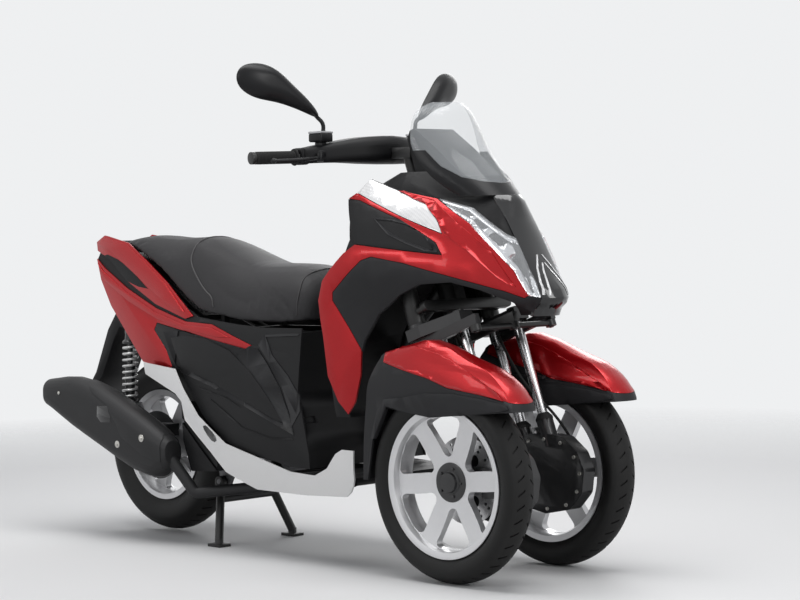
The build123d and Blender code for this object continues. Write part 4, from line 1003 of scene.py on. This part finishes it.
# %% [markdown]
# ## Engine and drive
# The engine is one block in the solids. Castings have ribs that stiffen their walls and covers over their
# bearings, with bolts round the joints. Such details sit on the block's faces: a few ribs and fins, and
# round covers with their rings of bolts.

# %% Covers and ribs on the right of the engine and on the drive case
def bolted_cover(name, centre, radius, thickness, side, bolts):
    """A dished round cover with bolt heads on its rim; side is the way it faces along the axle."""
    centre = metres(*centre)
    outline = [(along * thickness, out * radius) for along, out in (
        (0, 1), (0.7, 1), (1, 0.94), (1, 0.78), (0.55, 0.72), (0.6, 0.4), (1.3, 0.3), (1.3, 0), (0, 0))]
    rim = turned(name, outline, centre, 48, ACROSS * side)
    heads = ring_bolts(name + "_bolt", centre, radius * 0.86, bolts, 0.0048, 0, side * (thickness + 0.004), 0.3)
    fit(joined(name + "_bolts", heads), bolt_zinc)
    fit(rim, case_silver)


bolted_cover("variator_cover", (-905, 175, 296), 0.078, 0.010, 1, 8)
bolted_cover("clutch_cover", (-1300, 175, 262), 0.054, 0.009, 1, 6)
bolted_cover("generator_cover", (-836, -103, 296), 0.070, 0.016, -1, 7)
belt_ribs = [block("belt_rib", (x, 174, 258 - index * 3), (x + 14, 181, 330 - index * 6), 0.003)
             for index, x in enumerate(range(-1006, -1226, -44))]
fit(joined("belt_ribs", belt_ribs), case_silver)
fins = [block("head_fin", (-1000, -112, 334 + 9 * index), (-930, -103, 338 + 9 * index), 0.0012)
        for index in range(8)]
fit(joined("head_fins", fins), engine_casting)

# %% [markdown]
# ## Forks
# Each fork has two slim bright tubes that slide in black legs. The solid's tubes are brought in to the
# real tubes' size, and then bright sleeves go over them, with a wiper seal at the top of each leg. The
# leg's cover is bolted round its edge, and a caliper holds the disc.

# %% Slim tubes, seals, bolts and calipers
CASTER, AXIS_X, FORK_Y = radians(20), 0.068, 0.102    # the steering axis meets the floor AXIS_X ahead
TUBE_U, TUBE_LOW, TUBE_HIGH, TUBE_RADIUS = (0.033, 0.112), 0.372, 0.634, 0.0128
OLD_RADIUS, SLIMMER, ENDS = (0.0158, 0.0170), 0.76, 0.004
LEG_BOLTS = ((10, 330), (62, 338), (116, 331), (160, 298), (178, 258), (168, 212), (132, 176), (70, 162))


def on_fork(side, ahead, along):
    """A point in the steering axis's own directions."""
    x = AXIS_X + ahead * cos(CASTER) - along * sin(CASTER)
    return Vector((x + AXLE_X, side * FORK_Y, ahead * sin(CASTER) + along * cos(CASTER)))


for side, name in ((1, "left"), (-1, "right")):
    body = "fork_" + name
    leg, way = softened(body), on_fork(side, 0, 1) - on_fork(side, 0, 0)
    sleeves, seals = [], []
    for ahead in TUBE_U:
        foot = on_fork(side, ahead, 0)
        for vertex in leg.data.vertices:
            along = (vertex.co - foot).dot(way)
            away = vertex.co - foot - way * along
            if TUBE_LOW - ENDS < along < TUBE_HIGH + ENDS and OLD_RADIUS[0] < away.length < OLD_RADIUS[1]:
                vertex.co = foot + way * along + away * SLIMMER
        sleeves.append(bar("slider", on_fork(side, ahead, TUBE_LOW - 0.002),
                           on_fork(side, ahead, TUBE_HIGH + 0.002), TUBE_RADIUS, 0.0005))
        seals.append(turned("seal", [
            (-0.004, 0.0225), (0.002, 0.0225), (0.007, 0.019), (0.012, 0.0155), (0.014, 0.0138),
            (0.014, 0.012), (-0.004, 0.012)], on_fork(side, ahead, TUBE_LOW), 36, way.normalized()))
    fit(named(tidy(half_round(leg, 0.0016, 2)), "soft_fork_" + name), fork_black, body)
    bolts = []
    for x, z in LEG_BOLTS:
        face = metres(x, side * 82, z)
        bolts.append(bar("leg_bolt", face + ACROSS * side * 0.002, face - ACROSS * side * 0.0035, 0.0052, sides=6))
    bolts.append(turned("axle_nut", [(0, 0.017), (0.010, 0.016), (0.012, 0.012), (0.016, 0.011), (0.016, 0),
                                     (0, 0)], (0, side * 91, 250), 6, -ACROSS * side))
    near, far = sorted((side * 124, side * 161))
    pads = [block("caliper_body", (84, near, 222), (138, far, 279), 0.006)]
    pads += [bar("piston_cap", (137, side * 146, z), (149, side * 146, z), 0.0105, 0.002) for z in (236, 265)]
    hose = tube("hose_" + name, [(120, side * 152, 284), (96, side * 150, 330), (54, side * 132, 396),
                                 (6, side * 84, 470), (-46, side * 70, 548), (-92, side * 78, 610)], 0.0038)
    fit(joined("sliders_" + name, sleeves), fork_silver, body=body)
    fit(joined("seals_" + name, seals), rubber_black, body=body)
    fit(joined("leg_bolts_" + name, bolts), bolt_zinc, body=body)
    fit(joined("caliper_" + name, pads), satin_black, body=body, slot="black_paint")
    fit(hose, rubber_black, body=body)

# %% [markdown]
# ## Front guards
# The painted top of a guard is folded: a crisp ridge runs from its peak down to the beak, and below the
# paint a grey skirt swells out again into a lip over the wheel. Both are raised from the guard's own skin.

# %% Ridge of the paint and lip of the skirt
GUARD_FACE = [(-176, 560), (-180, 546), (-108, 530), (-25, 512), (42, 491), (140, 478), (214, 462), (196, 480),
              (150, 503), (96, 530), (40, 553), (-10, 570), (-80, 586), (-130, 584)]
GUARD_LIP = [(-214, 350), (-166, 434), (-90, 424), (-16, 417), (90, 422), (200, 436), (232, 442), (226, 452),
             (150, 464), (60, 474), (-30, 472), (-110, 458), (-172, 452), (-200, 420), (-226, 350)]
for side in ("left", "right"):
    raised("guard_face_" + side, "fender_" + side, red_lacquer, GUARD_FACE, 2.2, 2.2)
    raised("guard_lip_" + side, "fender_skirt_" + side, grey_plastic, GUARD_LIP, 3.4, 3.0)

# %% [markdown]
# ## Tail
# Two painted rails run along each side of the tail. The upper one carries the passenger's grip, and the gap
# between them is shown by a black patch of painted shade. Behind them sits the rear lamp with its reflector bands.

# %% Rails, hollow and the closing tray under the seat
UPPER_RIDGE = [(-1524, 846), (-1500, 866), (-1375, 843), (-1268, 787), (-1163, 730), (-1060, 654),
               (-1100, 658), (-1205, 702), (-1340, 768), (-1460, 826)]
LOWER_RIDGE = [(-1522, 792), (-1486, 766), (-1355, 706), (-1204, 652), (-1050, 618), (-930, 613), (-845, 587),
               (-900, 586), (-1045, 604), (-1190, 632), (-1340, 680), (-1470, 738)]
TAIL_HOLE = [(-1492, 812), (-1473, 815), (-1420, 801), (-1352, 775), (-1294, 741), (-1250, 716),
             (-1300, 722), (-1404, 749), (-1460, 772)]
TRAY = [(-1040, 640), (-1090, 664), (-1210, 738), (-1330, 796), (-1420, 820), (-1420, 806), (-1210, 722),
        (-1040, 626)]
raised("tail_upper_ridge", "tail_panels", red_lacquer, UPPER_RIDGE, 6.0, 5.5, sideways=True)
raised("tail_lower_ridge", "tail_panels", red_lacquer, LOWER_RIDGE, 6.0, 5.5, sideways=True)
# The gap between the rails is a flat black patch raised on the red panel: painted shade, not an opening.
raised("tail_hollow", "tail_panels", black_plastic, TAIL_HOLE, 1.2, 0.4, sideways=True)
fit(half_round(prism("seat_tray", TRAY, reach=0.098), 0.002), black_plastic)

# %% Rear lamp: a clear lower band, a red upper band and a dark frame
fit(block("tail_lamp_frame", (-1534, -62, 799), (-1526, 62, 846), 0.003), black_plastic, "tail_lamp")
fit(block("tail_lamp_red", (-1536, -57, 812), (-1530, 57, 842), 0.0025), red_lens)
fit(block("tail_lamp_white", (-1535.6, -52, 802.5), (-1530, 52, 809.5), 0.0015), white_lens)

# %% [markdown]
# ## Seat
# The seat is foam under a stretched cover. A drawn form never has the slight swelling between its seams,
# so the cover is simulated: a slightly smaller copy of the solid is remeshed evenly, pinned along its
# base, blown up from inside for twenty steps, and held to a small travel. Seams and piping come after.

# %% Seat cover finish
seat_cover = Finish("seat_cover", Specular_IOR_Level=0.3)
grain = seat_cover.noise(0.0013, detail=4, rough=0.65)
handled = seat_cover.noise(0.16, detail=3)
seat_cover.give(
    Base_Color=seat_cover.mix(handled * 0.6 + grain * 0.4, (0.016, 0.015, 0.016), (0.030, 0.029, 0.031)),
    Roughness=handled * 0.14 + 0.5)
seat_cover.relief(grain, 0.00025, 0.8)
piping_grey = moulded("piping_grey", (0.055, 0.053, 0.054), (0.085, 0.083, 0.084), 0.4, 0.0012, 0.00015)

# %% Shrink, remesh and blow up the cover
SEAT_SHRINK, VOXEL, SEAT_TRAVEL, PRESSURE, FRAMES = -0.0035, 0.006, 0.007, 4, 20
cushion = use(named(swollen("seat", SEAT_SHRINK), "seat_cushion"), "REMESH", mode="VOXEL", voxel_size=VOXEL)
before = [vertex.co.copy() for vertex in cushion.data.vertices]
pins = cushion.vertex_groups.new(name="pins")
pins.add([vertex.index for vertex in cushion.data.vertices if vertex.normal.z < -0.5], 1.0, "REPLACE")
cloth = cushion.modifiers.new("cloth", "CLOTH")
cloth.settings.quality = 5
cloth.settings.mass = 0.4
cloth.settings.tension_stiffness = cloth.settings.compression_stiffness = 12
cloth.settings.use_pressure = True
cloth.settings.uniform_pressure_force = PRESSURE
cloth.settings.vertex_group_mass = "pins"
cloth.settings.effector_weights.gravity = 0
cloth.point_cache.frame_start, cloth.point_cache.frame_end = 1, FRAMES
for step in range(1, FRAMES + 1):
    bpy.context.scene.frame_set(step)
only(cushion)
bpy.ops.object.modifier_apply(modifier="cloth")
furthest = 0.0
for vertex, start in zip(cushion.data.vertices, before):
    way = vertex.co - start
    furthest = max(furthest, way.length)
    if way.length > SEAT_TRAVEL:
        vertex.co = start + way * (SEAT_TRAVEL / way.length)
bpy.context.scene.frame_set(1)
print("furthest cover travel: %.1f mm of %.1f" % (1000 * min(furthest, SEAT_TRAVEL), 1000 * SEAT_TRAVEL))
use(cushion, "CORRECTIVE_SMOOTH", iterations=6, smooth_type="LENGTH_WEIGHTED")
use(cushion, "SUBSURF", levels=1, render_levels=1)
fit(tidy(cushion, 60), seat_cover, "seat", slot="seat_cover")
print("cushion faces:", len(cushion.data.polygons))

# %% Piping across the step and round the nose
skin = BVHTree.FromPolygons([vertex.co for vertex in cushion.data.vertices],
                            [polygon.vertices for polygon in cushion.data.polygons])
PIPING_LIFT = 0.0006


def on_cover(points):
    """Points moved onto the cover, then joined to their mirror images. The last one is on the middle."""
    right = []
    for point in points:
        place, normal, _, _ = skin.find_nearest(metres(*point))
        right.append(place + normal * PIPING_LIFT)
    left = [Vector((place.x, -place.y, place.z)) for place in reversed(right)]
    return right + left[1:]


STEP_SEAM = [(-938, -158, 668), (-948, -156, 695), (-975, -152, 712), (-999, -148, 729), (-1023, -143, 750),
             (-1044, -137, 770), (-1062, -130, 790), (-1072, -122, 805), (-1077, -112, 821), (-1080, -101, 833),
             (-1086, -76, 846), (-1089, -51, 853), (-1091, -25, 857), (-1092, 0, 858)]
NOSE_SEAM = [(-604, -148, 650), (-602, -146, 690), (-604, -136, 722), (-612, -116, 745), (-618, -84, 759),
             (-622, -42, 766), (-624, 0, 768)]
seams = [tube("step_piping", on_cover(STEP_SEAM), 0.0022), tube("nose_piping", on_cover(NOSE_SEAM), 0.0018)]
fit(joined("seat_piping", seams), piping_grey, body="seat", slot="seat_cover")

# %% [markdown]
# ## Floor and light
# The photograph has a street behind the scooter. Here a plain pale floor and an even studio take its
# place, so that only the object speaks. Four large soft lamps do what the open sky does there: a long
# highlight along the tops of the panels, softer ones ahead and on the side, and a rim on the far edge.

# %% Lay the floor
FADE_FROM, FADE_OVER = 3.6, 2.2        # metres from the middle at which the floor turns into the backdrop
bpy.ops.mesh.primitive_plane_add(size=60, location=(0, 0, 0))
floor = bpy.context.object
floor.name = "floor"
pale_floor = Finish("pale_floor", Roughness=0.7)
x, y, z = pale_floor.axes()
fade = (x * x + y * y).math("SQRT").above(FADE_FROM, FADE_OVER)
pale_floor.give(Base_Color=pale_floor.mix(pale_floor.noise(1.4, detail=4), 0.70, 0.74), Alpha=1 - fade)
wear(floor, pale_floor)

# %% Hang the lamps and light the room
SOFTBOXES = {              # place, the point it faces, width and height in metres, watts
    "sky": ((0.2, -0.4, 4.0), (0, 0, 0.5), (4.2, 2.0), 120),
    "front": ((4.8, -0.6, 2.6), (0.4, 0, 0.6), (1.6, 2.2), 60),
    "side": ((-0.6, -5.2, 2.6), (0, 0, 0.6), (3.2, 0.9), 40),
    "far": ((-2.5, 4.2, 2.8), (0, 0, 0.6), (3.0, 1.6), 60)}
for name, (at, aim, size, power) in SOFTBOXES.items():
    data = bpy.data.lights.new(name, "AREA")
    data.shape, data.size, data.size_y, data.energy = "RECTANGLE", *size, power
    lamp = bpy.data.objects.new(name, data)
    bpy.context.collection.objects.link(lamp)
    lamp.location = at
    lamp.rotation_euler = (Vector(aim) - Vector(at)).to_track_quat("-Z", "Y").to_euler()

world = bpy.context.scene.world or bpy.data.worlds.new("room")
bpy.context.scene.world = world
world.use_nodes = True
tree = world.node_tree
tree.nodes.clear()
ray, dim, bright, choose, result = [tree.nodes.new("ShaderNode" + kind) for kind in (
    "LightPath", "Background", "Background", "MixShader", "OutputWorld")]
dim.inputs["Color"].default_value = (0.9, 0.93, 1.0, 1)
dim.inputs["Strength"].default_value = 0.24
bright.inputs["Color"].default_value = (0.86, 0.87, 0.88, 1)
seen = Wire(tree, ray.outputs["Is Camera Ray"]).math("MAXIMUM", Wire(tree, ray.outputs["Is Glossy Ray"])).math(
    "MAXIMUM", Wire(tree, ray.outputs["Is Transmission Ray"]))
for index, socket in enumerate((seen.socket, dim.outputs[0], bright.outputs[0])):
    tree.links.new(socket, choose.inputs[index])
tree.links.new(choose.outputs[0], result.inputs["Surface"])
bpy.context.scene.view_settings.view_transform = "Standard"
